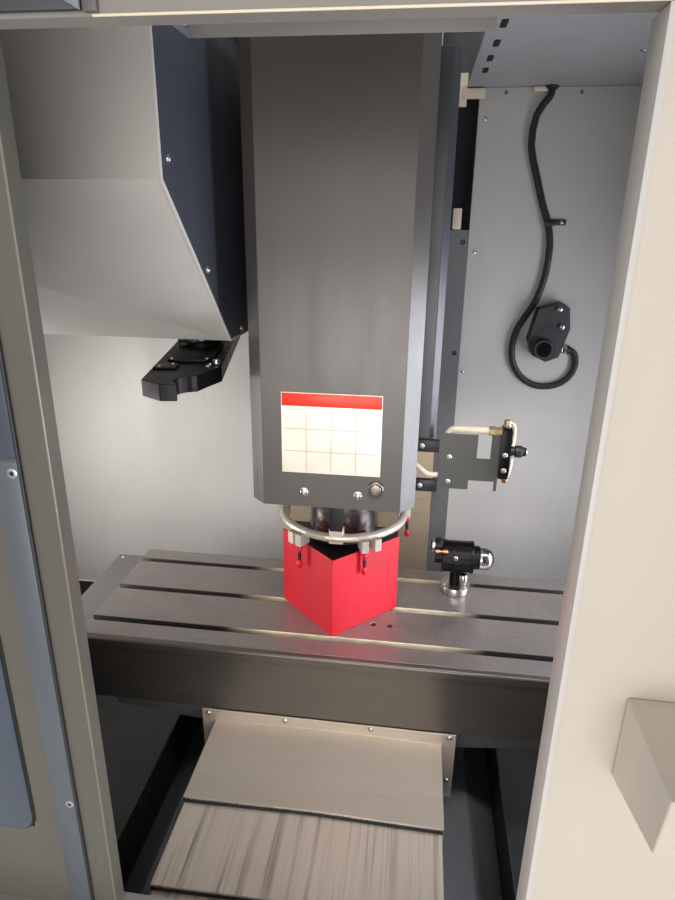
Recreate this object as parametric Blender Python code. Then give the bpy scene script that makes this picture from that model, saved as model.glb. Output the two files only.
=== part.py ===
"""Vertical machining centre with a travelling table, a column and a side tool changer.

Units are metres, +Z is up. X runs to the operator's right, Y runs into the machine.
X = 0 is the spindle axis and Y = 0 is the middle of the table at rest, until the root
empty moves the whole machine so that its box stands centred on the world origin.
Heights that are given "over the table" are measured from the table top.
"""
import math

import bmesh
import bpy
from mathutils import Matrix, Vector

for leftover in list(bpy.data.objects):
    bpy.data.objects.remove(leftover, do_unlink=True)

# General clearances and sheet gauges
GAP = 0.0003
SLIDE_FIT = 0.0006
SHEET = 0.002
PLATE = 0.003
OVERLAP = 0.001
REACH = 0.01

# Table
TABLE_TOP = 0.850
TABLE_LENGTH = 1.036
TABLE_DEPTH = 0.356
TABLE_THICKNESS = 0.060
TABLE_OFFSET_X = 0.0
SLOT_PITCH = 0.125
SLOT_WIDTH = 0.016
SLOT_FOOT_WIDTH = 0.030
SLOT_THROAT = 0.018
SLOT_DEPTH = 0.030
TABLE_HOLE_RADIUS = 0.006
TABLE_HOLE_DEPTH = 0.020
TABLE_HOLE_X = 0.098
TABLE_HOLE_PITCH = 0.035
TABLE_HOLE_Y = -0.063

# Table skirt and end covers
SKIRT_RIM_PROUD = 0.014
SKIRT_RIM_HEIGHT = 0.018
SKIRT_PROUD = 0.010
SKIRT_DROP = 0.148
END_COVER_LENGTH = 0.082
END_COVER_SINK = 0.022
END_COVER_DROP = 0.140
END_NOTCH_WIDTH = 0.120
END_NOTCH_TOP = 0.070

# Linear guides shared by the three axes
RAIL_WIDTH = 0.030
RAIL_HEIGHT = 0.025
TRUCK_WIDTH = 0.060
TRUCK_LENGTH = 0.090
TRUCK_HUG = 0.012
SCREW_RADIUS = 0.016
SCREW_SIDES = 24
NUT_RADIUS = 0.0168

# Saddle and X axis
SADDLE_DROP = 0.115
SADDLE_HALF_WIDTH = 0.250
SADDLE_FRONT = 0.186
SADDLE_BACK = 0.190
SADDLE_HEIGHT = 0.130
WING_REACH = 0.480
WING_THICKNESS = 0.040
WING_HALF_DEPTH = 0.150
X_RAIL_SPACING = 0.220
X_SCREW_OVER_SADDLE = 0.060
X_SCREW_HALF_LENGTH = 0.450
BEARING_BLOCK = 0.028
X_NUT_HALF_LENGTH = 0.035
X_TRUCK_REACH = 0.085

# Base and Y axis
BASE_FOOT = 0.060
BASE_HALF_WIDTH = 0.360
BASE_SHOULDER = 0.060
BASE_TOP_HALF_WIDTH = 0.300
BASE_TOP_UNDER_SADDLE = 0.045
BASE_FRONT = -0.560
BASE_BACK = 0.920
FOOT_RADIUS = 0.040
FOOT_INSET_X = 0.270
Y_RAIL_SPACING = 0.400
Y_RAIL_FRONT = -0.540
Y_RAIL_BACK = 0.440
CHANNEL_HALF_WIDTH = 0.100
CHANNEL_DEPTH = 0.100
CHANNEL_END_WALL = 0.030
Y_SCREW_UNDER_TOP = 0.045
Y_NUT_HALF_LENGTH = 0.040

# Column and Z axis
WALL_PLANE = 0.450
COLUMN_FRONT = 0.480
COLUMN_DEPTH = 0.440
COLUMN_HALF_WIDTH = 0.190
COLUMN_TOP = 2.260
COLUMN_FOOT_FLARE = 0.110
COLUMN_FOOT_HEIGHT = 0.100
Z_RAIL_SPACING = 0.290
Z_RAIL_BOTTOM = 1.200
Z_RAIL_TOP = 2.200
Z_CHANNEL_HALF_WIDTH = 0.090
Z_CHANNEL_DEPTH = 0.105
Z_CHANNEL_CAP = 0.020
Z_SCREW_BACK = 0.050
SERVO_HALF_WIDTH = 0.065
SERVO_HEIGHT = 0.240

# Head, heights over the table
SPINDLE_Y = 0.063
HEAD_HALF_WIDTH = 0.115
HEAD_FRONT = -0.090
HEAD_BOTTOM = 0.310
HEAD_TOP = 0.870
HEAD_LOW_BACK = 0.4317
HEAD_STEP = 0.402
HEAD_BACK = 0.440
HEAD_TRUCK_HEIGHTS = (0.410, 0.720)
HEAD_NUT_BOTTOM = 0.520
HEAD_NUT_TOP = 0.640
HEAD_NUT_HALF_WIDTH = 0.050
COVER_PAD_DEPTH = 0.060
COVER_PAD_HEIGHTS = (0.450, 0.780)
COVER_PAD_THICKNESS = 0.040
HOUSING_RADIUS = 0.075
HOUSING_BOTTOM = 0.156
BORE_RADIUS = 0.0365
BORE_TOP = 0.300
SPINDLE_RADIUS = 0.036
NOSE_RADIUS = 0.055
NOSE_BOTTOM = 0.148
TAPER_MOUTH_RADIUS = 0.022
TAPER_END_RADIUS = 0.013
TAPER_DEPTH = 0.065
DRIVE_KEY_LENGTH = 0.016
DRIVE_KEY_WIDTH = 0.012
DRIVE_KEY_DROP = 0.006
DRIVE_KEY_REACH = 0.040
MOTOR_HALF_WIDTH = 0.090
MOTOR_CHAMFER = 0.030
MOTOR_TOP = 1.250

# Head cover
COVER_FRONT = -0.150
COVER_HALF_WIDTH = 0.152
COVER_CHAMFER = 0.026
COVER_BACK = 0.400
COVER_BOTTOM = 0.304
COVER_TOP = 1.070
COVER_MOTOR_CLEAR = 0.006
BUTTON_X = 0.081
BUTTON_HEIGHT = 0.348
BUTTON_RADIUS = 0.010
BUTTON_BEZEL_RADIUS = 0.0145
BUTTON_BEZEL_PROUD = 0.004
BUTTON_PROUD = 0.008
BUTTON_TAIL = 0.020
BUTTON_FIT = 0.0006

# Side duct on the right of the head
DUCT_WIDTH = 0.034
DUCT_FRONT = -0.045
DUCT_BACK = 0.060
DUCT_CHAMFER = 0.013
DUCT_BOTTOM = 0.400
DUCT_TOP = 1.060

# Coolant ring and nozzles
RING_RADIUS = 0.132
RING_TUBE_RADIUS = 0.009
RING_HEIGHT = 0.201
RING_STEPS = 40
RING_SIDES = 10
HANGER_WIDTH = 0.024
HANGER_DEPTH = 0.014
HANGER_ANGLES = (-90.0, 30.0, 150.0)
NOZZLE_ANGLES = (-121.0, -66.5, 19.0)
NOZZLE_NAMES = ("nozzle_left", "nozzle_front", "nozzle_right")
PLUG_ANGLES = (-129.0, -56.0, 175.0)
NOZZLE_CIRCLE = 0.148
NOZZLE_BLOCK = 0.014
NOZZLE_BLOCK_HEIGHT = 0.026
NOZZLE_BALL = 0.0065
NOZZLE_NECK = 0.003
NOZZLE_LENGTH = 0.044

# Spindle support bracket
SUPPORT_CORNER = -0.119
SUPPORT_LEG = 0.126
SUPPORT_HEIGHT = 0.175
SUPPORT_SHELF_UNDER = 0.0003
SUPPORT_SHELF_BACK = 0.110
SUPPORT_SHEET = 0.003

# Side bracket and air fitting on the head, heights over the table
SIDE_PLATE_Y = -0.049
SIDE_PLATE_LEFT = 0.194
SIDE_PLATE_RIGHT = 0.306
SIDE_PLATE_TOP = 0.428
SIDE_PLATE_BOTTOM = 0.317
SIDE_PLATE_STEP = 0.336
SIDE_PLATE_STEP_X = 0.252
FINGER_WIDTH = 0.006
NOTCH_LEFT = 0.264
NOTCH_RIGHT = 0.289
NOTCH_BOTTOM = 0.381
TAB_HEIGHTS = (0.312, 0.393)
TAB_HEIGHT = 0.019
VALVE_WIDTH = 0.017
VALVE_DEPTH = 0.020
VALVE_BOTTOM = 0.345
VALVE_TOP = 0.446
FITTING_HEIGHT = 0.437
FITTING_LENGTH = 0.066
FITTING_RADIUS = 0.006
KNOB_HEIGHT = 0.399
KNOB_RADIUS = 0.008
KNOB_LENGTH = 0.030

# Tool setter on the table
SETTER_X = 0.258
SETTER_Y = 0.100
SETTER_BASE_RADIUS = 0.032
SETTER_BASE_HEIGHT = 0.018
SETTER_POST_RADIUS = 0.014
SETTER_AXIS = 0.088
SETTER_BODY_RADIUS = 0.036
SETTER_BODY_LENGTH = 0.070
SETTER_NECK_RADIUS = 0.026
SETTER_NECK_LENGTH = 0.014
SETTER_DOME_RADIUS = 0.026
SETTER_DOME_LENGTH = 0.016
SETTER_DISC_RADIUS = 0.018
SETTER_DISC_LENGTH = 0.008

# Telescopic covers of the Y axis, heights over the table
Y_HOOD_HALF_WIDTH = 0.2325
Y_HOOD_STEP_IN = 0.003
Y_HOOD_TOP = -0.174
Y_HOOD_STEP_DOWN = 0.010
Y_HOOD_CREASE = 0.006
Y_HOOD_SIDE = 0.062
Y_HOOD_LIP = 0.004
Y_UPPER_FRONT = -0.377
Y_MIDDLE_FRONT = -0.530
Y_MIDDLE_BACK = -0.240
Y_FIXED_BACK = -0.390
Y_FLANGE_HALF_WIDTH = 0.260
Y_FLANGE_TOP = -0.152
Y_FLANGE_BOTTOM = -0.313
Y_POCKET_DEPTH = 0.045
Y_TRAVEL_FRONT = 0.158
Y_TRAVEL_BACK = 0.242

# Telescopic covers of the Z axis, heights over the table
Z_COVER_HALF_WIDTH = 0.200
Z_COVER_PITCH = 0.006
Z_COVER_GAUGE = 0.0015
Z_COVER_LIP = 0.006
Z_COVER_BOTTOMS = (0.120, 0.075, 0.030)
Z_COVER_TOPS = (0.3997, 0.350, 0.300)
Z_FIXED_TOP = 0.250

# Enclosure
INSIDE_HALF_WIDTH = 0.950
WALL_THICKNESS = 0.050
SKIN = 0.020
FRONT_PLANE = -0.640
FLANGE_BACK = -0.600
SKIRT_BOTTOM = 0.100
SILL = 0.690
SILL_DEPTH = 0.075
HEADER_HEIGHT = 0.151
HEADER_LIP = 0.028
HEADER_GUIDE_LIFT = 0.035
HEADER_BACK = -0.560
HEADER_GROOVE_ROOF = 0.054
ROOF_OVER_TABLE = 1.094
ROOF_THICKNESS = 0.006
OPENING_LEFT = -0.480
OPENING_RIGHT = 0.307
ROOF_CUT_LEFT = -0.190
ROOF_CUT_RIGHT = 0.222
ROOF_CUT_FRONT = -0.180
VALANCE_DROP = 0.047
STRIP_WIDTH = 0.047
STRIP_TOP = 1.639
STRIP_HOLE_RADIUS = 0.006
STRIP_HOLE_HEIGHTS = (0.488, 0.761)
STRIP_HOLE_IN = 0.014
REAR_LEFT_EDGE = -0.202
REAR_RIGHT_EDGE = 0.203
REAR_THICKNESS = 0.020

# Chip pan
PAN_FLOOR = 0.400
PAN_TOP = 0.560
PAN_WALL = 0.003
PAN_BACK_WALL = 0.006
PAN_FRONT = -0.594

# Sliding doors
DOOR_FRONT = -0.594
DOOR_THICKNESS = 0.023
DOOR_TOP_CLEAR = 0.005
DOOR_WIDTH = 0.422
LEFT_DOOR_EDGE = -0.249
RIGHT_DOOR_EDGE = 0.318
STILE = 0.037
CLAMP_WIDTH = 0.030
CLAMP_REACH = 0.034
CLAMP_PROUD = 0.004
WINDOW_OVER_SILL = 0.036
WINDOW_UNDER_TOP = 0.050
WINDOW_MARGIN = 0.0395
WINDOW_APRON = 0.113
WINDOW_HEADER = 0.060
WINDOW_GLASS = 0.006

# Shelf on the right front panel
SHELF_LEFT = 0.371
SHELF_WIDTH = 0.260
SHELF_BOTTOM = 1.094
SHELF_TOP = 1.196
SHELF_DEPTH = 0.124
SHELF_RISE = 0.029
SHELF_LEAN = 0.010

# Tool changer, heights over the table
SHROUD_RIGHT = -0.200
SHROUD_FRONT = -0.350
SHROUD_FACE_HEIGHT = 0.249
SHROUD_SLOPE_HEIGHT = 0.252
SHROUD_SLOPE_END = -0.080
SHROUD_LIP_END = 0.020
ARM_PIVOT_X = -0.305
ARM_UNDER_SHROUD = 0.068
ARM_THICKNESS = 0.028
ARM_REST_DEG = 12.0
ARM_HALF_WIDTH = 0.060
ARM_POCKET_SIDE = 0.026
ARM_POCKET_RADIUS = 0.033
ARM_POCKET_REACH = 0.304
ARM_JAW_REACH = 0.232
ARM_FINGER_REACH = 0.331
ARM_CHAMFER = 0.035
SHAFT_RADIUS = 0.030
SHAFT_FIT = 0.0006
SHAFT_OVER_SHROUD = 0.167
GEARBOX_OVER_SHROUD = 0.012
GEARBOX_HEIGHT = 0.255
GEARBOX_LEFT = -0.400
GEARBOX_BACK = 0.130
CAROUSEL_X = -0.640
CAROUSEL_Y = 0.100
CAROUSEL_UNDER_ROOF = 0.254
CAROUSEL_RADIUS = 0.200
CAROUSEL_THICKNESS = 0.050
CAROUSEL_POTS = 12
POT_LOBE = 0.036
POT_BORE = 0.022
CAROUSEL_AXLE = 0.030

# Receiver of the measuring system on the right rear wall
RECEIVER_DEPTH = 0.045
RECEIVER_OUTLINE = (
    (0.428, 0.610), (0.486, 0.625), (0.500, 0.615), (0.507, 0.565),
    (0.498, 0.530), (0.488, 0.495), (0.458, 0.482), (0.424, 0.498), (0.412, 0.533),
)
RECEIVER_WINDOW = (0.447, 0.516)
RECEIVER_WINDOW_RADIUS = 0.024
RECEIVER_WINDOW_PROUD = 0.008
SOCKET_HEIGHT = 0.508
SOCKET_END = 0.512
SOCKET_RADIUS = 0.009
CABLE_RADIUS = 0.008
CABLE_WALL_GAP = 0.0005
CABLE_STEPS = 2
CABLE_ROUTE = (
    (0.406, 1.0925), (0.406, 1.0825), (0.403, 1.072), (0.379, 1.036), (0.374, 0.974), (0.393, 0.911),
    (0.415, 0.847), (0.432, 0.805), (0.442, 0.758), (0.440, 0.688), (0.425, 0.628),
    (0.405, 0.590), (0.387, 0.556), (0.379, 0.516), (0.384, 0.475), (0.406, 0.437),
    (0.441, 0.415), (0.479, 0.412), (0.513, 0.424), (0.534, 0.449), (0.539, 0.476),
    (0.533, 0.499), (0.5205, 0.507), (0.5123, 0.508),
)

# Electrical cabinet behind the column
CABINET_HALF_WIDTH = 0.450
CABINET_BOTTOM = 0.450
CABINET_TOP = 2.050
CABINET_DEPTH = 0.280
CABINET_WALL = 0.020
CABINET_DOOR_THICKNESS = 0.022
CABINET_DOOR_MARGIN = 0.002
COLUMN_BRIDGE = 0.060

# Operator pendant
PENDANT_X = 0.780
PENDANT_ARM_UNDER_HEADER = 0.053
PENDANT_ARM_SIZE = 0.060
PENDANT_BRACKET_DEPTH = 0.040
PENDANT_SWIVEL_Y = -0.820
PENDANT_ARM_END = 0.040
PENDANT_POST_RADIUS = 0.020
PENDANT_POST_LENGTH = 0.060
PENDANT_HALF_WIDTH = 0.190
PENDANT_DEPTH = 0.090
PENDANT_HEIGHT = 0.420
PENDANT_CHAMFER = 0.014
STOP_X = 0.120
STOP_UNDER_TOP = 0.360
STOP_RADIUS = 0.020
STOP_STEM_RADIUS = 0.011
STOP_STROKE = 0.005
STOP_HEAD = 0.014
STOP_STEM = 0.030
WHEEL_X = -0.070
WHEEL_UNDER_TOP = 0.330
WHEEL_RADIUS = 0.034
WHEEL_THICKNESS = 0.016
WHEEL_STEM_RADIUS = 0.010
WHEEL_STEM = 0.020
SOCKET_FIT = 0.0006

# Values worked out from the ones above
TABLE_LEFT = TABLE_OFFSET_X - TABLE_LENGTH / 2
TABLE_RIGHT = TABLE_OFFSET_X + TABLE_LENGTH / 2
TABLE_FRONT = -TABLE_DEPTH / 2
TABLE_BACK = TABLE_DEPTH / 2
TABLE_BOTTOM = TABLE_TOP - TABLE_THICKNESS
SADDLE_TOP = TABLE_BOTTOM - SADDLE_DROP
SADDLE_BOTTOM = SADDLE_TOP - SADDLE_HEIGHT
X_SCREW_Z = SADDLE_TOP + X_SCREW_OVER_SADDLE
BASE_TOP = SADDLE_BOTTOM - BASE_TOP_UNDER_SADDLE
Y_SCREW_Z = BASE_TOP - Y_SCREW_UNDER_TOP
OUTSIDE_HALF_WIDTH = INSIDE_HALF_WIDTH + WALL_THICKNESS
ROOF_UNDER = TABLE_TOP + ROOF_OVER_TABLE
ROOF_TOP = ROOF_UNDER + ROOF_THICKNESS
HEADER_BOTTOM = ROOF_UNDER - HEADER_HEIGHT
HEADER_GROOVE_TOP = ROOF_UNDER - HEADER_GROOVE_ROOF
DOOR_TOP = HEADER_GROOVE_TOP - DOOR_TOP_CLEAR
WINDOW_BOTTOM = SILL + WINDOW_OVER_SILL
WINDOW_TOP = DOOR_TOP - WINDOW_UNDER_TOP
SHROUD_BEND = ROOF_OVER_TABLE - SHROUD_FACE_HEIGHT
SHROUD_BOTTOM = SHROUD_BEND - SHROUD_SLOPE_HEIGHT
ARM_BOTTOM = SHROUD_BOTTOM - ARM_UNDER_SHROUD
SHAFT_TOP = SHROUD_BOTTOM + SHAFT_OVER_SHROUD
GEARBOX_BOTTOM = SHROUD_BOTTOM + GEARBOX_OVER_SHROUD
GEARBOX_TOP = GEARBOX_BOTTOM + GEARBOX_HEIGHT
CAROUSEL_HEIGHT = ROOF_OVER_TABLE - CAROUSEL_UNDER_ROOF
PENDANT_ARM_Z = HEADER_BOTTOM - PENDANT_ARM_UNDER_HEADER
PENDANT_TOP = PENDANT_ARM_Z - PENDANT_ARM_SIZE / 2 - PENDANT_POST_LENGTH - GAP
PENDANT_BOTTOM = PENDANT_TOP - PENDANT_HEIGHT
STOP_Z = PENDANT_TOP - STOP_UNDER_TOP
WHEEL_Z = PENDANT_TOP - WHEEL_UNDER_TOP
COLUMN_BACK = COLUMN_FRONT + COLUMN_DEPTH
Z_RAIL_FRONT = COLUMN_FRONT - RAIL_HEIGHT
Z_SCREW_Y = COLUMN_FRONT + Z_SCREW_BACK
CABINET_FRONT = COLUMN_BACK + GAP
CABINET_BACK = CABINET_FRONT + CABINET_DEPTH
PENDANT_FRONT = PENDANT_SWIVEL_Y - PENDANT_DEPTH / 2
PENDANT_BACK = PENDANT_SWIVEL_Y + PENDANT_DEPTH / 2
MACHINE_FRONT = PENDANT_FRONT - STOP_STROKE - STOP_HEAD
MACHINE_BACK = CABINET_BACK + GAP + CABINET_DOOR_THICKNESS
ORIGIN_Y = (MACHINE_FRONT + MACHINE_BACK) / 2

# Finishes: colour, roughness, metallic
CASTING = ((0.30, 0.31, 0.32), 0.55, 0.0)
STEEL = ((0.55, 0.55, 0.56), 0.30, 1.0)
STAINLESS = ((0.52, 0.49, 0.45), 0.35, 1.0)
LIGHT_PAINT = ((0.55, 0.54, 0.52), 0.50, 0.0)
CREAM_PAINT = ((0.76, 0.70, 0.62), 0.50, 0.0)
GREY_PAINT = ((0.30, 0.29, 0.26), 0.45, 0.0)
HEAD_PAINT = ((0.12, 0.11, 0.10), 0.45, 0.0)
DARK_PAINT = ((0.05, 0.055, 0.065), 0.50, 0.0)
BLACK = ((0.02, 0.02, 0.022), 0.45, 0.0)
RED_PAINT = ((0.60, 0.01, 0.03), 0.35, 0.0)
BRASS = ((0.60, 0.42, 0.16), 0.30, 1.0)
GLASS = ((0.10, 0.12, 0.14), 0.08, 0.0)


def over_table(height):
    """Return the height above the floor of a height over the table top."""
    return TABLE_TOP + height


def block(x, y, z):
    """Return a box as a bmesh, from (low, high) pairs along each axis."""
    shape = bmesh.new()
    bmesh.ops.create_cube(shape, size=1.0)
    size = Vector((x[1] - x[0], y[1] - y[0], z[1] - z[0]))
    middle = Vector((x[1] + x[0], y[1] + y[0], z[1] + z[0])) / 2
    bmesh.ops.scale(shape, vec=size, verts=shape.verts)
    bmesh.ops.translate(shape, vec=middle, verts=shape.verts)
    return shape


def prism(outline, axis, low, high):
    """Return an outline, given in the plane across the axis, drawn out along it."""
    order = {"X": (2, 0, 1), "Y": (0, 2, 1), "Z": (0, 1, 2)}[axis]
    shape = bmesh.new()
    corners = []
    for point in outline:
        flat = (point[0], point[1], low)
        corners.append(shape.verts.new([flat[i] for i in order]))
    shape.faces.new(corners)
    drawn = bmesh.ops.extrude_face_region(shape, geom=list(shape.faces))
    raised = [item for item in drawn["geom"] if isinstance(item, bmesh.types.BMVert)]
    direction = Vector([(0.0, 0.0, high - low)[i] for i in order])
    bmesh.ops.translate(shape, vec=direction, verts=raised)
    bmesh.ops.recalc_face_normals(shape, faces=shape.faces)
    return shape


def rod(centre, axis, radius, low, high, sides=20, end_radius=None):
    """Return a cylinder or cone along an axis; the centre holds its other two places."""
    shape = bmesh.new()
    top_radius = radius if end_radius is None else end_radius
    bmesh.ops.create_cone(
        shape, cap_ends=True, segments=sides, radius1=radius, radius2=top_radius, depth=high - low
    )
    turn = {
        "X": Matrix.Rotation(math.pi / 2, 4, "Y"),
        "Y": Matrix.Rotation(-math.pi / 2, 4, "X"),
        "Z": Matrix.Identity(4),
    }[axis]
    middle = (low + high) / 2
    place = {
        "X": (middle, centre[0], centre[1]),
        "Y": (centre[0], middle, centre[1]),
        "Z": (centre[0], centre[1], middle),
    }[axis]
    bmesh.ops.transform(shape, matrix=Matrix.Translation(place) @ turn, verts=shape.verts)
    return shape


def turned(profile, steps):
    """Return a profile of (radius, height) points turned about the Z axis."""
    shape = bmesh.new()
    verts = [shape.verts.new((radius, 0.0, height)) for radius, height in profile]
    edges = [shape.edges.new(pair) for pair in zip(verts, verts[1:])]
    bmesh.ops.spin(
        shape, geom=verts + edges, cent=(0, 0, 0), axis=(0, 0, 1),
        angle=2 * math.pi, steps=steps, use_merge=True,
    )
    bmesh.ops.remove_doubles(shape, verts=shape.verts, dist=0.00001)
    bmesh.ops.recalc_face_normals(shape, faces=shape.faces)
    return shape


def moved(shape, place, turn=None):
    """Turn a bmesh about the origin, then move it, and return it."""
    matrix = Matrix.Translation(place)
    if turn is not None:
        matrix = matrix @ turn
    bmesh.ops.transform(shape, matrix=matrix, verts=shape.verts)
    return shape


def cluster(shapes):
    """Return several shapes that stay apart as one bmesh."""
    whole = bmesh.new()
    for shape in shapes:
        mesh = bpy.data.meshes.new("cluster")
        shape.to_mesh(mesh)
        shape.free()
        whole.from_mesh(mesh)
        bpy.data.meshes.remove(mesh)
    return whole


def paint(name, finish):
    """Return a Principled material of its own for one object."""
    colour, roughness, metallic = finish
    material = bpy.data.materials.new(name)
    material.use_nodes = True
    shader = material.node_tree.nodes["Principled BSDF"]
    shader.inputs["Base Color"].default_value = (*colour, 1.0)
    shader.inputs["Roughness"].default_value = roughness
    shader.inputs["Metallic"].default_value = metallic
    return material


ROOT = bpy.data.objects.new("machine_origin", None)
bpy.context.collection.objects.link(ROOT)
ROOT.location = (0.0, -ORIGIN_Y, 0.0)


def add_object(name, shape, pivot):
    """Link a bmesh as an object whose origin is the pivot."""
    bmesh.ops.translate(shape, vec=-Vector(pivot), verts=shape.verts)
    mesh = bpy.data.meshes.new(name)
    shape.to_mesh(mesh)
    shape.free()
    item = bpy.data.objects.new(name, mesh)
    bpy.context.collection.objects.link(item)
    item.parent = ROOT
    item.location = pivot
    return item


def part(name, finish, shape, add=(), cut=(), pivot=(0.0, 0.0, 0.0), round_faces=False):
    """Make one part: a base shape, shapes joined to it, then shapes cut from it."""
    item = add_object(name, shape, pivot)
    item.data.materials.append(paint(name, finish))
    steps = [("UNION", tool) for tool in add] + [("DIFFERENCE", tool) for tool in cut]
    for number, (operation, tool) in enumerate(steps):
        helper = add_object(f"{name}_tool_{number}", tool, pivot)
        helper.hide_render = True
        helper.display_type = "WIRE"
        step = item.modifiers.new(f"step_{number}", "BOOLEAN")
        step.operation = operation
        step.solver = "EXACT"
        step.object = helper
    if round_faces:
        item.data.shade_smooth()
        item.data.set_sharp_from_angle(angle=math.radians(35))
    return item


# Base, chip pan and column


def make_base():
    """Cast base with the Y rails, the screw channel and levelling feet."""
    shoulder = BASE_TOP - BASE_SHOULDER
    outline = (
        (-BASE_HALF_WIDTH, BASE_FOOT), (BASE_HALF_WIDTH, BASE_FOOT), (BASE_HALF_WIDTH, shoulder),
        (BASE_TOP_HALF_WIDTH, BASE_TOP), (-BASE_TOP_HALF_WIDTH, BASE_TOP), (-BASE_HALF_WIDTH, shoulder),
    )
    rails = cluster(
        block(
            (side * Y_RAIL_SPACING / 2 - RAIL_WIDTH / 2, side * Y_RAIL_SPACING / 2 + RAIL_WIDTH / 2),
            (Y_RAIL_FRONT, Y_RAIL_BACK),
            (BASE_TOP - OVERLAP, BASE_TOP + RAIL_HEIGHT),
        )
        for side in (-1, 1)
    )
    middle_y = (BASE_FRONT + BASE_BACK) / 2
    reach_y = (BASE_BACK - BASE_FRONT) / 2 - 2 * FOOT_RADIUS
    feet = cluster(
        rod((side * FOOT_INSET_X, middle_y + row * reach_y), "Z", FOOT_RADIUS, 0.0, BASE_FOOT + OVERLAP, 16)
        for side in (-1, 1)
        for row in (-1, 0, 1)
    )
    channel = block(
        (-CHANNEL_HALF_WIDTH, CHANNEL_HALF_WIDTH),
        (BASE_FRONT + CHANNEL_END_WALL, WALL_PLANE),
        (BASE_TOP - CHANNEL_DEPTH, BASE_TOP + REACH),
    )
    part("machine_base", CASTING, prism(outline, "Y", BASE_FRONT, BASE_BACK), [rails, feet], [channel])


def make_chip_pan():
    """Open tray round the base that catches chips and coolant."""
    half = INSIDE_HALF_WIDTH - GAP
    inner = BASE_HALF_WIDTH + GAP
    back = WALL_PLANE - PLATE
    trough = (
        (-half + PAN_WALL, PAN_FRONT + PAN_WALL), (half - PAN_WALL, PAN_FRONT + PAN_WALL),
        (half - PAN_WALL, back - PAN_BACK_WALL), (inner + PAN_WALL, back - PAN_BACK_WALL),
        (inner + PAN_WALL, BASE_FRONT - GAP - PAN_WALL), (-inner - PAN_WALL, BASE_FRONT - GAP - PAN_WALL),
        (-inner - PAN_WALL, back - PAN_BACK_WALL), (-half + PAN_WALL, back - PAN_BACK_WALL),
    )
    part(
        "chip_pan", DARK_PAINT,
        block((-half, half), (PAN_FRONT, back), (PAN_FLOOR, PAN_TOP)),
        cut=[
            prism(trough, "Z", PAN_FLOOR + PAN_WALL, PAN_TOP + REACH),
            block((-inner, inner), (BASE_FRONT - GAP, back + REACH), (PAN_FLOOR - REACH, PAN_TOP + REACH)),
        ],
    )


def make_column():
    """Cast column with the Z rails, the screw channel and a flared foot."""
    foot = block(
        (-COLUMN_HALF_WIDTH - COLUMN_FOOT_FLARE, COLUMN_HALF_WIDTH + COLUMN_FOOT_FLARE),
        (COLUMN_FRONT, COLUMN_BACK),
        (BASE_TOP + GAP, BASE_TOP + COLUMN_FOOT_HEIGHT),
    )
    rails = cluster(
        block(
            (side * Z_RAIL_SPACING / 2 - RAIL_WIDTH / 2, side * Z_RAIL_SPACING / 2 + RAIL_WIDTH / 2),
            (Z_RAIL_FRONT, COLUMN_FRONT + OVERLAP),
            (Z_RAIL_BOTTOM, Z_RAIL_TOP),
        )
        for side in (-1, 1)
    )
    channel = block(
        (-Z_CHANNEL_HALF_WIDTH, Z_CHANNEL_HALF_WIDTH),
        (COLUMN_FRONT - REACH, COLUMN_FRONT + Z_CHANNEL_DEPTH),
        (TABLE_TOP, COLUMN_TOP - Z_CHANNEL_CAP),
    )
    part(
        "column", CASTING,
        block(
            (-COLUMN_HALF_WIDTH, COLUMN_HALF_WIDTH), (COLUMN_FRONT, COLUMN_BACK),
            (BASE_TOP + COLUMN_FOOT_HEIGHT - OVERLAP, COLUMN_TOP),
        ),
        [foot, rails], [channel],
    )
    part(
        "z_servo_motor", BLACK,
        rod((0.0, Z_SCREW_Y), "Z", SERVO_HALF_WIDTH, COLUMN_TOP + GAP, COLUMN_TOP + SERVO_HEIGHT, 24),
        [block(
            (-SERVO_HALF_WIDTH, SERVO_HALF_WIDTH),
            (Z_SCREW_Y - SERVO_HALF_WIDTH, Z_SCREW_Y + SERVO_HALF_WIDTH),
            (COLUMN_TOP + GAP, COLUMN_TOP + SERVO_HEIGHT / 4),
        )],
    )


# Saddle, table and what rides on them


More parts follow.
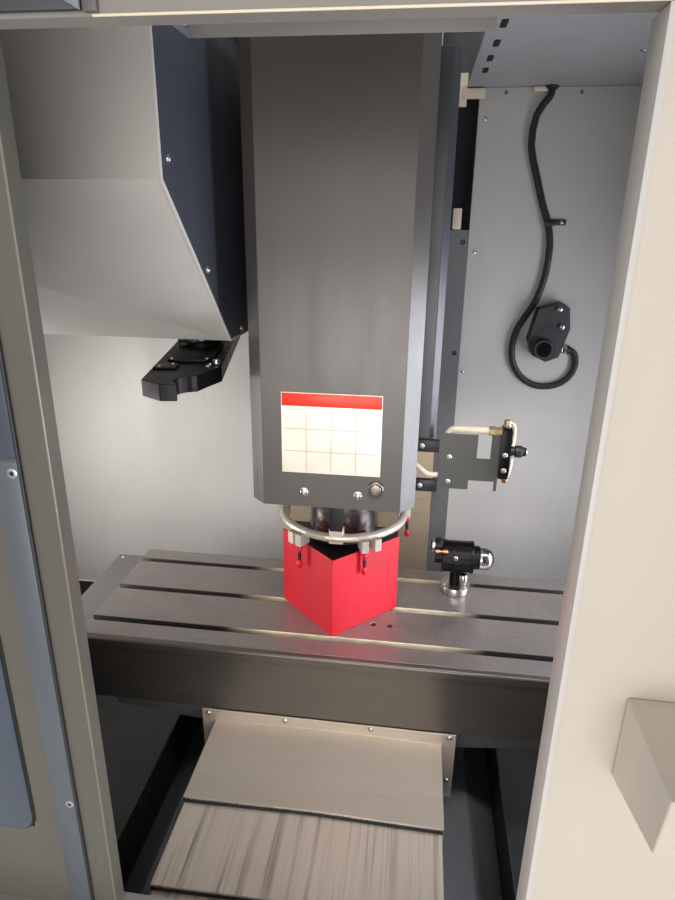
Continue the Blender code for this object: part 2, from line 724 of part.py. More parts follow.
def make_saddle():
    """Cross saddle with the X rails, screw bearings, Y trucks and the Y nut."""
    top, bottom = SADDLE_TOP, SADDLE_BOTTOM
    wing_foot = bottom + SADDLE_HEIGHT / 2
    wings = (
        (-WING_REACH, top), (-WING_REACH, top - WING_THICKNESS), (-SADDLE_HALF_WIDTH, wing_foot),
        (SADDLE_HALF_WIDTH, wing_foot), (WING_REACH, top - WING_THICKNESS), (WING_REACH, top),
    )
    x_rails = cluster(
        block(
            (-WING_REACH, WING_REACH),
            (side * X_RAIL_SPACING / 2 - RAIL_WIDTH / 2, side * X_RAIL_SPACING / 2 + RAIL_WIDTH / 2),
            (top - OVERLAP, top + RAIL_HEIGHT),
        )
        for side in (-1, 1)
    )
    bearings = cluster(
        block(
            tuple(sorted((side * X_SCREW_HALF_LENGTH, side * (X_SCREW_HALF_LENGTH + BEARING_BLOCK)))),
            (-BEARING_BLOCK, BEARING_BLOCK),
            (top - OVERLAP, X_SCREW_Z + BEARING_BLOCK),
        )
        for side in (-1, 1)
    )
    truck_bottom = BASE_TOP + RAIL_HEIGHT - TRUCK_HUG
    trucks = cluster(
        block(
            (side * Y_RAIL_SPACING / 2 - TRUCK_WIDTH / 2, side * Y_RAIL_SPACING / 2 + TRUCK_WIDTH / 2),
            (row * SADDLE_BACK / 2 - TRUCK_LENGTH / 2, row * SADDLE_BACK / 2 + TRUCK_LENGTH / 2),
            (truck_bottom, bottom + OVERLAP),
        )
        for side in (-1, 1)
        for row in (-1, 1)
    )
    nut = block(
        (-BEARING_BLOCK, BEARING_BLOCK), (-Y_NUT_HALF_LENGTH, Y_NUT_HALF_LENGTH),
        (Y_SCREW_Z - BEARING_BLOCK, bottom + OVERLAP),
    )
    rail_ways = cluster(
        block(
            (side * Y_RAIL_SPACING / 2 - RAIL_WIDTH / 2 - SLIDE_FIT,
             side * Y_RAIL_SPACING / 2 + RAIL_WIDTH / 2 + SLIDE_FIT),
            (-SADDLE_FRONT - REACH, SADDLE_BACK + REACH),
            (truck_bottom - REACH, BASE_TOP + RAIL_HEIGHT + GAP),
        )
        for side in (-1, 1)
    )
    pocket = block(
        (-Y_HOOD_HALF_WIDTH - OVERLAP, Y_HOOD_HALF_WIDTH + OVERLAP),
        (-SADDLE_FRONT - REACH, -SADDLE_FRONT + Y_POCKET_DEPTH),
        (bottom - REACH, top + REACH),
    )
    screw_way = rod((0.0, Y_SCREW_Z), "Y", NUT_RADIUS, -Y_NUT_HALF_LENGTH - REACH,
                    Y_NUT_HALF_LENGTH + REACH, SCREW_SIDES)
    part(
        "saddle", CASTING,
        block((-SADDLE_HALF_WIDTH, SADDLE_HALF_WIDTH), (-SADDLE_FRONT, SADDLE_BACK), (bottom, top)),
        [prism(wings, "Y", -SADDLE_FRONT + Y_POCKET_DEPTH + REACH, WING_HALF_DEPTH),
         x_rails, bearings, trucks, nut],
        [rail_ways, pocket, screw_way],
    )


def table_outline():
    """Return the section of the table, with its T-slots cut from the top."""
    top = TABLE_TOP
    points = [(TABLE_FRONT, TABLE_BOTTOM), (TABLE_FRONT, top)]
    for middle in (-SLOT_PITCH, 0.0, SLOT_PITCH):
        points += [
            (middle - SLOT_WIDTH / 2, top), (middle - SLOT_WIDTH / 2, top - SLOT_THROAT),
            (middle - SLOT_FOOT_WIDTH / 2, top - SLOT_THROAT), (middle - SLOT_FOOT_WIDTH / 2, top - SLOT_DEPTH),
            (middle + SLOT_FOOT_WIDTH / 2, top - SLOT_DEPTH), (middle + SLOT_FOOT_WIDTH / 2, top - SLOT_THROAT),
            (middle + SLOT_WIDTH / 2, top - SLOT_THROAT), (middle + SLOT_WIDTH / 2, top),
        ]
    points += [(TABLE_BACK, top), (TABLE_BACK, TABLE_BOTTOM)]
    return points


def make_table():
    """T-slot table with its X trucks and the X nut underneath."""
    truck_bottom = SADDLE_TOP + RAIL_HEIGHT - TRUCK_HUG
    trucks = cluster(
        block(
            (TABLE_OFFSET_X + row * X_TRUCK_REACH - TRUCK_LENGTH / 2,
             TABLE_OFFSET_X + row * X_TRUCK_REACH + TRUCK_LENGTH / 2),
            (side * X_RAIL_SPACING / 2 - TRUCK_WIDTH / 2, side * X_RAIL_SPACING / 2 + TRUCK_WIDTH / 2),
            (truck_bottom, TABLE_BOTTOM + OVERLAP),
        )
        for side in (-1, 1)
        for row in (-1, 1)
    )
    nut = block(
        (TABLE_OFFSET_X - X_NUT_HALF_LENGTH, TABLE_OFFSET_X + X_NUT_HALF_LENGTH),
        (-BEARING_BLOCK, BEARING_BLOCK), (X_SCREW_Z - BEARING_BLOCK, TABLE_BOTTOM + OVERLAP),
    )
    rail_ways = cluster(
        block(
            (TABLE_LEFT, TABLE_RIGHT),
            (side * X_RAIL_SPACING / 2 - RAIL_WIDTH / 2 - SLIDE_FIT,
             side * X_RAIL_SPACING / 2 + RAIL_WIDTH / 2 + SLIDE_FIT),
            (truck_bottom - REACH, SADDLE_TOP + RAIL_HEIGHT + GAP),
        )
        for side in (-1, 1)
    )
    screw_way = rod((0.0, X_SCREW_Z), "X", NUT_RADIUS, TABLE_LEFT, TABLE_RIGHT, SCREW_SIDES)
    holes = cluster(
        rod((TABLE_HOLE_X + row * TABLE_HOLE_PITCH / 2, TABLE_HOLE_Y), "Z", TABLE_HOLE_RADIUS,
            TABLE_TOP - TABLE_HOLE_DEPTH, TABLE_TOP + REACH, 12)
        for row in (-1, 1)
    )
    part(
        "table", STEEL, prism(table_outline(), "X", TABLE_LEFT, TABLE_RIGHT),
        [trucks, nut], [rail_ways, screw_way, holes],
    )


def make_table_skirt():
    """Bright front skirt of the table: a stepped rim and a hanging panel."""
    seat = TABLE_FRONT - GAP
    panel_front = seat - SKIRT_PROUD
    rim_front = seat - SKIRT_RIM_PROUD
    rim_bottom = TABLE_TOP - SKIRT_RIM_HEIGHT
    outline = (
        (seat, TABLE_TOP), (rim_front + PLATE, TABLE_TOP), (rim_front, TABLE_TOP - PLATE),
        (rim_front, rim_bottom), (panel_front, rim_bottom - SHEET), (panel_front, TABLE_TOP - SKIRT_DROP),
        (panel_front + PLATE, TABLE_TOP - SKIRT_DROP), (panel_front + PLATE, rim_bottom), (seat, rim_bottom),
    )
    left = TABLE_LEFT - END_COVER_LENGTH
    right = TABLE_RIGHT + END_COVER_LENGTH
    part("table_skirt", STAINLESS, prism(outline, "X", left, right))


def make_end_cover(name, side, table_end):
    """Folded cover at one end of the table, notched where it passes the screw bearing."""
    seat = table_end + side * GAP
    outer = table_end + side * END_COVER_LENGTH
    top = over_table(-END_COVER_SINK)
    bottom = over_table(-END_COVER_DROP)
    outline = (
        (seat, top), (outer, top), (outer, bottom), (outer - side * PLATE, bottom),
        (outer - side * PLATE, top - PLATE), (seat, top - PLATE),
    )
    front = TABLE_FRONT - GAP - SKIRT_PROUD + PLATE + GAP
    notch = block(
        (outer - 2 * PLATE, outer + 2 * PLATE), (-END_NOTCH_WIDTH / 2, END_NOTCH_WIDTH / 2),
        (bottom - REACH, over_table(-END_NOTCH_TOP)),
    )
    part(name, LIGHT_PAINT, prism(outline, "Y", front, TABLE_BACK), cut=[notch])


def make_tool_setter():
    """Tool measuring probe on the right of the table: post, body, dome and disc."""
    axis = (SETTER_Y, over_table(SETTER_AXIS))
    body_left = SETTER_X - SETTER_BODY_LENGTH / 2
    body_right = SETTER_X + SETTER_BODY_LENGTH / 2
    neck_end = body_right + SETTER_NECK_LENGTH
    dome_end = neck_end + SETTER_DOME_LENGTH
    part(
        "tool_setter", BLACK,
        rod(axis, "X", SETTER_BODY_RADIUS, body_left, body_right, 16),
        [
            rod((SETTER_X, SETTER_Y), "Z", SETTER_BASE_RADIUS, TABLE_TOP + GAP,
                over_table(SETTER_BASE_HEIGHT), 24),
            rod((SETTER_X, SETTER_Y), "Z", SETTER_POST_RADIUS, over_table(SETTER_BASE_HEIGHT) - OVERLAP,
                over_table(SETTER_AXIS), 16),
            rod(axis, "X", SETTER_NECK_RADIUS, body_right - OVERLAP, neck_end, 16),
            rod(axis, "X", SETTER_DOME_RADIUS, neck_end - OVERLAP, dome_end, 16, SETTER_DOME_RADIUS * 0.6),
            rod(axis, "X", SETTER_DISC_RADIUS, body_left - 2 * SETTER_DISC_LENGTH, body_left + OVERLAP, 16),
        ],
        round_faces=True,
    )


# Ball screws


def make_screws():
    """Ball screws of the three axes, between their bearings."""
    part(
        "x_screw", STEEL,
        rod((0.0, X_SCREW_Z), "X", SCREW_RADIUS, -X_SCREW_HALF_LENGTH + GAP, X_SCREW_HALF_LENGTH - GAP, SCREW_SIDES),
        pivot=(0.0, 0.0, X_SCREW_Z), round_faces=True,
    )
    part(
        "y_screw", STEEL,
        rod((0.0, Y_SCREW_Z), "Y", SCREW_RADIUS, BASE_FRONT + CHANNEL_END_WALL + GAP, WALL_PLANE - GAP, SCREW_SIDES),
        pivot=(0.0, 0.0, Y_SCREW_Z), round_faces=True,
    )
    part(
        "z_screw", STEEL,
        rod((0.0, Z_SCREW_Y), "Z", SCREW_RADIUS, TABLE_TOP + GAP, COLUMN_TOP - Z_CHANNEL_CAP - GAP, SCREW_SIDES),
        pivot=(0.0, Z_SCREW_Y, over_table(HEAD_NUT_BOTTOM)), round_faces=True,
    )


# Telescopic covers


def hood_outline(level, inset, drop):
    """Return the closed section of one Y cover, drawn in or down by given amounts."""
    half = Y_HOOD_HALF_WIDTH - level * Y_HOOD_STEP_IN - inset
    top = over_table(Y_HOOD_TOP) - level * Y_HOOD_STEP_DOWN - drop
    bottom = over_table(Y_HOOD_TOP) - Y_HOOD_CREASE - Y_HOOD_SIDE
    return half, top, bottom


def hood(level, front, back):
    """Return one inverted tray of the Y covers, with a lip at its front."""
    half, top, bottom = hood_outline(level, 0.0, 0.0)
    outer = ((-half, bottom), (-half, top - Y_HOOD_CREASE), (0.0, top), (half, top - Y_HOOD_CREASE), (half, bottom))
    shell = prism(outer, "Y", front, back)
    inner_half, inner_top, _ = hood_outline(level, SHEET, SHEET)
    lip_half, lip_top, _ = hood_outline(level + 1, -GAP, -GAP)
    cuts = []
    spans = ((inner_half, inner_top, front + Y_HOOD_LIP, back + REACH),
             (lip_half, lip_top, front - REACH, front + Y_HOOD_LIP + OVERLAP))
    for cut_half, cut_top, cut_front, cut_back in spans:
        low = bottom - REACH
        hollow = ((-cut_half, low), (-cut_half, cut_top - Y_HOOD_CREASE), (0.0, cut_top),
                  (cut_half, cut_top - Y_HOOD_CREASE), (cut_half, low))
        cuts.append(prism(hollow, "Y", cut_front, cut_back))
    return shell, cuts


def make_y_covers():
    """Three nesting covers in front of the saddle, the upper one with its flange."""
    seat = -SADDLE_FRONT - GAP
    shell, cuts = hood(0, Y_UPPER_FRONT, seat)
    half, top, _ = hood_outline(0, SHEET, SHEET)
    flange = block(
        (-Y_FLANGE_HALF_WIDTH, Y_FLANGE_HALF_WIDTH), (seat - PLATE, seat),
        (over_table(Y_FLANGE_BOTTOM), over_table(Y_FLANGE_TOP)),
    )
    window = ((-half, over_table(Y_FLANGE_BOTTOM) - REACH), (-half, top - Y_HOOD_CREASE), (0.0, top),
              (half, top - Y_HOOD_CREASE), (half, over_table(Y_FLANGE_BOTTOM) - REACH))
    part("y_cover_upper", STAINLESS, shell, [flange],
         cuts + [prism(window, "Y", seat - 2 * PLATE, seat + REACH)])
    shell, cuts = hood(1, Y_MIDDLE_FRONT, Y_MIDDLE_BACK)
    part("y_cover_middle", STAINLESS, shell, cut=cuts)
    shell, cuts = hood(2, FRONT_PLANE + SKIN + GAP, Y_FIXED_BACK)
    part("y_cover_fixed", STAINLESS, shell, cut=cuts[:1])


def make_z_covers():
    """Nesting covers of the Z axis: three that move and a fixed one between the walls."""
    fixed_front = WALL_PLANE
    names = ("z_cover_upper", "z_cover_middle", "z_cover_lower")
    for number, name in enumerate(names):
        front = fixed_front - (len(names) - number) * Z_COVER_PITCH
        bottom = over_table(Z_COVER_BOTTOMS[number])
        top = over_table(Z_COVER_TOPS[number])
        outline = (
            (front, bottom), (front + Z_COVER_PITCH - GAP, bottom),
            (front + Z_COVER_PITCH - GAP, bottom + Z_COVER_LIP), (front + Z_COVER_GAUGE, bottom + Z_COVER_LIP),
            (front + Z_COVER_GAUGE, top), (front, top),
        )
        part(name, STAINLESS, prism(outline, "X", -Z_COVER_HALF_WIDTH, Z_COVER_HALF_WIDTH))
    part(
        "z_cover_fixed", STAINLESS,
        block((REAR_LEFT_EDGE + GAP, REAR_RIGHT_EDGE - GAP), (fixed_front, fixed_front + PLATE),
              (PAN_TOP + GAP, over_table(Z_FIXED_TOP))),
    )


# Head


def make_head_casting():
    """Cast head with the spindle housing, Z trucks and the Z nut."""
    low, step, high = over_table(HEAD_BOTTOM), over_table(HEAD_STEP), over_table(HEAD_TOP)
    side = (
        (HEAD_FRONT, low), (HEAD_LOW_BACK, low), (HEAD_LOW_BACK, step),
        (HEAD_BACK, step), (HEAD_BACK, high), (HEAD_FRONT, high),
    )
    housing = rod((0.0, SPINDLE_Y), "Z", HOUSING_RADIUS, over_table(HOUSING_BOTTOM), low + REACH, 32)
    trucks = cluster(
        block(
            (side_x * Z_RAIL_SPACING / 2 - TRUCK_WIDTH / 2, side_x * Z_RAIL_SPACING / 2 + TRUCK_WIDTH / 2),
            (HEAD_BACK - RAIL_HEIGHT, Z_RAIL_FRONT + TRUCK_HUG),
            (over_table(height), over_table(height) + TRUCK_LENGTH),
        )
        for side_x in (-1, 1)
        for height in HEAD_TRUCK_HEIGHTS
    )
    cross = cluster(
        block(
            (-Z_RAIL_SPACING / 2, Z_RAIL_SPACING / 2), (HEAD_BACK - RAIL_HEIGHT + PLATE, HEAD_BACK - PLATE),
            (over_table(height) + PLATE, over_table(height) + TRUCK_LENGTH - PLATE),
        )
        for height in HEAD_TRUCK_HEIGHTS
    )
    pad_reach = COVER_HALF_WIDTH - SHEET - GAP
    pads = cluster(
        block((-pad_reach, pad_reach), (SPINDLE_Y, SPINDLE_Y + COVER_PAD_DEPTH),
              (over_table(height), over_table(height) + COVER_PAD_THICKNESS))
        for height in COVER_PAD_HEIGHTS
    )
    nut = block(
        (-HEAD_NUT_HALF_WIDTH, HEAD_NUT_HALF_WIDTH),
        (HEAD_BACK - OVERLAP, COLUMN_FRONT + Z_CHANNEL_DEPTH - REACH),
        (over_table(HEAD_NUT_BOTTOM), over_table(HEAD_NUT_TOP)),
    )
    rail_ways = cluster(
        block(
            (side_x * Z_RAIL_SPACING / 2 - RAIL_WIDTH / 2 - SLIDE_FIT,
             side_x * Z_RAIL_SPACING / 2 + RAIL_WIDTH / 2 + SLIDE_FIT),
            (Z_RAIL_FRONT - GAP, COLUMN_FRONT + REACH),
            (low, high + REACH),
        )
        for side_x in (-1, 1)
    )
    screw_way = rod((0.0, Z_SCREW_Y), "Z", NUT_RADIUS, over_table(HEAD_NUT_BOTTOM) - REACH,
                    over_table(HEAD_NUT_TOP) + REACH, SCREW_SIDES)
    bore = rod((0.0, SPINDLE_Y), "Z", BORE_RADIUS, over_table(HOUSING_BOTTOM) - REACH, over_table(BORE_TOP), 32)
    part(
        "head_casting", CASTING, prism(side, "X", -HEAD_HALF_WIDTH, HEAD_HALF_WIDTH),
        [housing, trucks, cross, pads, nut], [rail_ways, screw_way, bore],
    )
    motor_y = (SPINDLE_Y - MOTOR_HALF_WIDTH, SPINDLE_Y + MOTOR_HALF_WIDTH)
    half, cut = MOTOR_HALF_WIDTH, MOTOR_CHAMFER
    octagon = (
        (-half + cut, motor_y[0]), (half - cut, motor_y[0]), (half, motor_y[0] + cut), (half, motor_y[1] - cut),
        (half - cut, motor_y[1]), (-half + cut, motor_y[1]), (-half, motor_y[1] - cut), (-half, motor_y[0] + cut),
    )
    part("spindle_motor", BLACK, prism(octagon, "Z", high + GAP, over_table(MOTOR_TOP)))


def make_spindle():
    """Spindle with its nose, drive keys and tool taper."""
    nose_low = over_table(NOSE_BOTTOM)
    nose_high = over_table(HOUSING_BOTTOM) - GAP
    nose = rod((0.0, SPINDLE_Y), "Z", NOSE_RADIUS, nose_low, nose_high, 32)
    keys = cluster(
        block(
            (side * DRIVE_KEY_REACH - DRIVE_KEY_LENGTH / 2, side * DRIVE_KEY_REACH + DRIVE_KEY_LENGTH / 2),
            (SPINDLE_Y - DRIVE_KEY_WIDTH / 2, SPINDLE_Y + DRIVE_KEY_WIDTH / 2),
            (nose_low - DRIVE_KEY_DROP, nose_low + OVERLAP),
        )
        for side in (-1, 1)
    )
    shaft = rod((0.0, SPINDLE_Y), "Z", SPINDLE_RADIUS, nose_high - OVERLAP, over_table(BORE_TOP) - GAP, 32)
    taper = rod((0.0, SPINDLE_Y), "Z", TAPER_MOUTH_RADIUS, nose_low - GAP, nose_low + TAPER_DEPTH, 24,
                TAPER_END_RADIUS)
    part("spindle", STEEL, nose, [keys, shaft], [taper], (0.0, SPINDLE_Y, nose_low), True)


def make_head_cover():
    """Folded cover of the head with chamfered front corners and the button's bezel."""
    half, cut = COVER_HALF_WIDTH, COVER_CHAMFER

    def section(inset):
        """Return the plan of the cover, drawn in by an amount all round its front."""
        side = half - inset
        front = COVER_FRONT + inset
        chamfer = cut - inset * (2 - math.sqrt(2))
        back = COVER_BACK if inset == 0.0 else COVER_BACK + REACH
        return ((-side, back), (-side, front + chamfer), (-side + chamfer, front),
                (side - chamfer, front), (side, front + chamfer), (side, back))

    low, high = over_table(COVER_BOTTOM), over_table(COVER_TOP)
    button_height = over_table(BUTTON_HEIGHT)
    bezel = rod((BUTTON_X, button_height), "Y", BUTTON_BEZEL_RADIUS, COVER_FRONT - BUTTON_BEZEL_PROUD,
                COVER_FRONT + OVERLAP, 20)
    clear = MOTOR_HALF_WIDTH + COVER_MOTOR_CLEAR
    motor_hole = block((-clear, clear), (SPINDLE_Y - clear, SPINDLE_Y + clear), (high - REACH, high + REACH))
    button_hole = rod((BUTTON_X, button_height), "Y", BUTTON_RADIUS + BUTTON_FIT,
                      COVER_FRONT - BUTTON_BEZEL_PROUD - REACH, COVER_FRONT + REACH, 20)
    part(
        "head_cover", HEAD_PAINT, prism(section(0.0), "Z", low, high), [bezel],
        [prism(section(SHEET), "Z", low - REACH, high - SHEET), motor_hole, button_hole],
    )
    part(
        "release_button", STEEL,
        rod((BUTTON_X, button_height), "Y", BUTTON_RADIUS, COVER_FRONT - BUTTON_PROUD, COVER_FRONT + BUTTON_TAIL, 20),
        pivot=(BUTTON_X, COVER_FRONT, button_height), round_faces=True,
    )
    inner = COVER_HALF_WIDTH + GAP
    outer = COVER_HALF_WIDTH + DUCT_WIDTH
    duct = ((inner, DUCT_BACK), (inner, DUCT_FRONT), (outer - DUCT_CHAMFER, DUCT_FRONT),
            (outer, DUCT_FRONT + DUCT_CHAMFER), (outer, DUCT_BACK))
    part("side_duct", DARK_PAINT, prism(duct, "Z", over_table(DUCT_BOTTOM), over_table(DUCT_TOP)))


def around_spindle(radius, degrees):
    """Return a place on a circle about the spindle axis."""
    angle = math.radians(degrees)
    return radius * math.cos(angle), SPINDLE_Y + radius * math.sin(angle)


def block_on_ring(degrees, radius, width, depth, low, high):
    """Return a small box that faces the spindle axis at one place of the ring."""
    x, y = around_spindle(radius, degrees)
    shape = block((-depth / 2, depth / 2), (-width / 2, width / 2), (low, high))
    return moved(shape, (x, y, 0.0), Matrix.Rotation(math.radians(degrees), 4, "Z"))


def make_coolant_ring():
    """Coolant ring under the head, with hangers and nozzle blocks."""
    centre_z = over_table(RING_HEIGHT)
    circle = []
    for step in range(RING_SIDES + 1):
        angle = 2 * math.pi * step / RING_SIDES
        circle.append((RING_RADIUS + RING_TUBE_RADIUS * math.cos(angle), RING_TUBE_RADIUS * math.sin(angle)))
    ring = moved(turned(circle, RING_STEPS), (0.0, SPINDLE_Y, centre_z))
    hangers = cluster(
        block_on_ring(angle, RING_RADIUS, HANGER_WIDTH, HANGER_DEPTH, centre_z, over_table(HEAD_BOTTOM) - GAP)
        for angle in HANGER_ANGLES
    )
    blocks = cluster(
        block_on_ring(angle, RING_RADIUS + NOZZLE_BLOCK / 2, NOZZLE_BLOCK, 2 * NOZZLE_BLOCK,
                      centre_z - NOZZLE_BLOCK_HEIGHT, centre_z)
        for angle in NOZZLE_ANGLES + PLUG_ANGLES
    )
    part("coolant_ring", STEEL, ring, [hangers, blocks], round_faces=True)
    ball_height = centre_z - NOZZLE_BLOCK_HEIGHT - GAP - NOZZLE_BALL
    tip = -NOZZLE_LENGTH
    upper = [(NOZZLE_BALL * math.cos(math.radians(degrees)), NOZZLE_BALL * math.sin(math.radians(degrees)))
             for degrees in (90, 60, 30, 0, -30, -60)]
    lower = [(NOZZLE_NECK, tip + 2.4 * NOZZLE_BALL), (NOZZLE_BALL * 0.9, tip + 1.6 * NOZZLE_BALL),
             (NOZZLE_BALL * 0.8, tip + 0.5 * NOZZLE_BALL), (NOZZLE_NECK, tip), (0.0, tip)]
    for name, angle in zip(NOZZLE_NAMES, NOZZLE_ANGLES):
        x, y = around_spindle(NOZZLE_CIRCLE, angle)
        shape = moved(turned(upper + lower, 12), (x, y, ball_height))
        part(name, RED_PAINT, shape, pivot=(x, y, ball_height), round_faces=True)


def make_head_support():
    """Folded V bracket under the spindle nose, with a shelf that carries the nose."""
    thick = SUPPORT_SHEET * math.sqrt(2)
    outline = (
        (0.0, SUPPORT_CORNER), (SUPPORT_LEG, SUPPORT_CORNER + SUPPORT_LEG),
        (SUPPORT_LEG - thick / 2, SUPPORT_CORNER + SUPPORT_LEG + thick / 2), (0.0, SUPPORT_CORNER + thick),
        (-SUPPORT_LEG + thick / 2, SUPPORT_CORNER + SUPPORT_LEG + thick / 2),
        (-SUPPORT_LEG, SUPPORT_CORNER + SUPPORT_LEG),
    )
    shelf_top = over_table(NOSE_BOTTOM) - DRIVE_KEY_DROP - SUPPORT_SHELF_UNDER
    inner = SUPPORT_LEG - thick
    shelf = (
        (0.0, SUPPORT_CORNER + thick / 2), (inner, SUPPORT_CORNER + thick / 2 + inner), (inner, SUPPORT_SHELF_BACK),
        (-inner, SUPPORT_SHELF_BACK), (-inner, SUPPORT_CORNER + thick / 2 + inner),
    )
    part(
        "head_support", RED_PAINT, prism(outline, "Z", TABLE_TOP + GAP, over_table(SUPPORT_HEIGHT)),
        [prism(shelf, "Z", shelf_top - PLATE, shelf_top)],
    )


def make_side_bracket():
    """Notched plate on the right of the head, with the air fitting at its edge."""
    left, right = SIDE_PLATE_LEFT, SIDE_PLATE_RIGHT
    seat = COVER_HALF_WIDTH + GAP
    plate = (
        (left, SIDE_PLATE_TOP), (NOTCH_LEFT, SIDE_PLATE_TOP), (NOTCH_LEFT, NOTCH_BOTTOM), (NOTCH_RIGHT, NOTCH_BOTTOM),
        (NOTCH_RIGHT, SIDE_PLATE_TOP), (right, SIDE_PLATE_TOP), (right, SIDE_PLATE_BOTTOM),
        (right - FINGER_WIDTH, SIDE_PLATE_BOTTOM), (right - FINGER_WIDTH, SIDE_PLATE_STEP),
        (SIDE_PLATE_STEP_X, SIDE_PLATE_STEP), (SIDE_PLATE_STEP_X, SIDE_PLATE_BOTTOM), (left, SIDE_PLATE_BOTTOM),
        (left, TAB_HEIGHTS[0] + TAB_HEIGHT), (seat, TAB_HEIGHTS[0] + TAB_HEIGHT), (seat, TAB_HEIGHTS[0]),
        (left - PLATE, TAB_HEIGHTS[0]),
    )
    lower = [(x, over_table(z)) for x, z in plate[:12]]
    tabs = cluster(
        block((seat, left + PLATE), (SIDE_PLATE_Y - PLATE, SIDE_PLATE_Y),
              (over_table(height), over_table(height + TAB_HEIGHT)))
        for height in TAB_HEIGHTS
    )
    part("side_bracket", DARK_PAINT, prism(lower, "Y", SIDE_PLATE_Y - PLATE, SIDE_PLATE_Y), [tabs])
    valve_left = right + GAP
    valve_y = (SIDE_PLATE_Y - VALVE_DEPTH / 2, SIDE_PLATE_Y + VALVE_DEPTH / 2)
    hose_axis = (SIDE_PLATE_Y, over_table(FITTING_HEIGHT))
    knob_axis = (SIDE_PLATE_Y, over_table(KNOB_HEIGHT))
    part(
        "air_fitting", BRASS,
        block((valve_left, valve_left + VALVE_WIDTH), valve_y, (over_table(VALVE_BOTTOM), over_table(VALVE_TOP))),
        [
            rod(hose_axis, "X", FITTING_RADIUS, valve_left - FITTING_LENGTH, valve_left + OVERLAP, 12),
            rod(knob_axis, "X", KNOB_RADIUS, valve_left + VALVE_WIDTH - OVERLAP,
                valve_left + VALVE_WIDTH + KNOB_LENGTH, 12),
        ],
    )


# Enclosure


def make_walls():
    """Side walls, rear walls, the dark strip beside the column and the roof."""
    walls = (("left_wall", -1), ("right_wall", 1))
    back = WALL_PLANE + REAR_THICKNESS
    for name, side in walls:
        span = tuple(sorted((side * INSIDE_HALF_WIDTH, side * OUTSIDE_HALF_WIDTH)))
        part(name, CREAM_PAINT, block(span, (FRONT_PLANE + SKIN + GAP, back), (SKIRT_BOTTOM, ROOF_UNDER - GAP)))
    low, high = PAN_TOP + GAP, ROOF_UNDER - GAP
    inside = INSIDE_HALF_WIDTH - GAP
    strip_right = REAR_RIGHT_EDGE + STRIP_WIDTH
    part("rear_wall_left", LIGHT_PAINT, block((-inside, REAR_LEFT_EDGE), (WALL_PLANE, back), (low, high)))
    part("rear_wall_right", LIGHT_PAINT, block((strip_right, inside), (WALL_PLANE, back), (low, high)))
    holes = cluster(
        rod((strip_right - STRIP_HOLE_IN, over_table(height)), "Y", STRIP_HOLE_RADIUS,
            WALL_PLANE - REACH, WALL_PLANE + REAR_THICKNESS / 2, 12)
        for height in STRIP_HOLE_HEIGHTS
    )
    part(
        "column_strip", DARK_PAINT,
        block((REAR_RIGHT_EDGE, strip_right - GAP), (WALL_PLANE, back), (low, STRIP_TOP)), cut=[holes],
    )
    half = OUTSIDE_HALF_WIDTH
    front = FRONT_PLANE + SKIN + GAP
    roof = (
        (-half, front), (half, front), (half, back), (ROOF_CUT_RIGHT, back), (ROOF_CUT_RIGHT, ROOF_CUT_FRONT),
        (ROOF_CUT_LEFT, ROOF_CUT_FRONT), (ROOF_CUT_LEFT, back), (-half, back),
    )
    valance = block((ROOF_CUT_LEFT, ROOF_CUT_RIGHT), (ROOF_CUT_FRONT - PLATE, ROOF_CUT_FRONT),
                    (ROOF_UNDER - VALANCE_DROP, ROOF_UNDER + OVERLAP))
    part("roof_panel", LIGHT_PAINT, prism(roof, "Z", ROOF_UNDER, ROOF_TOP), [valance])


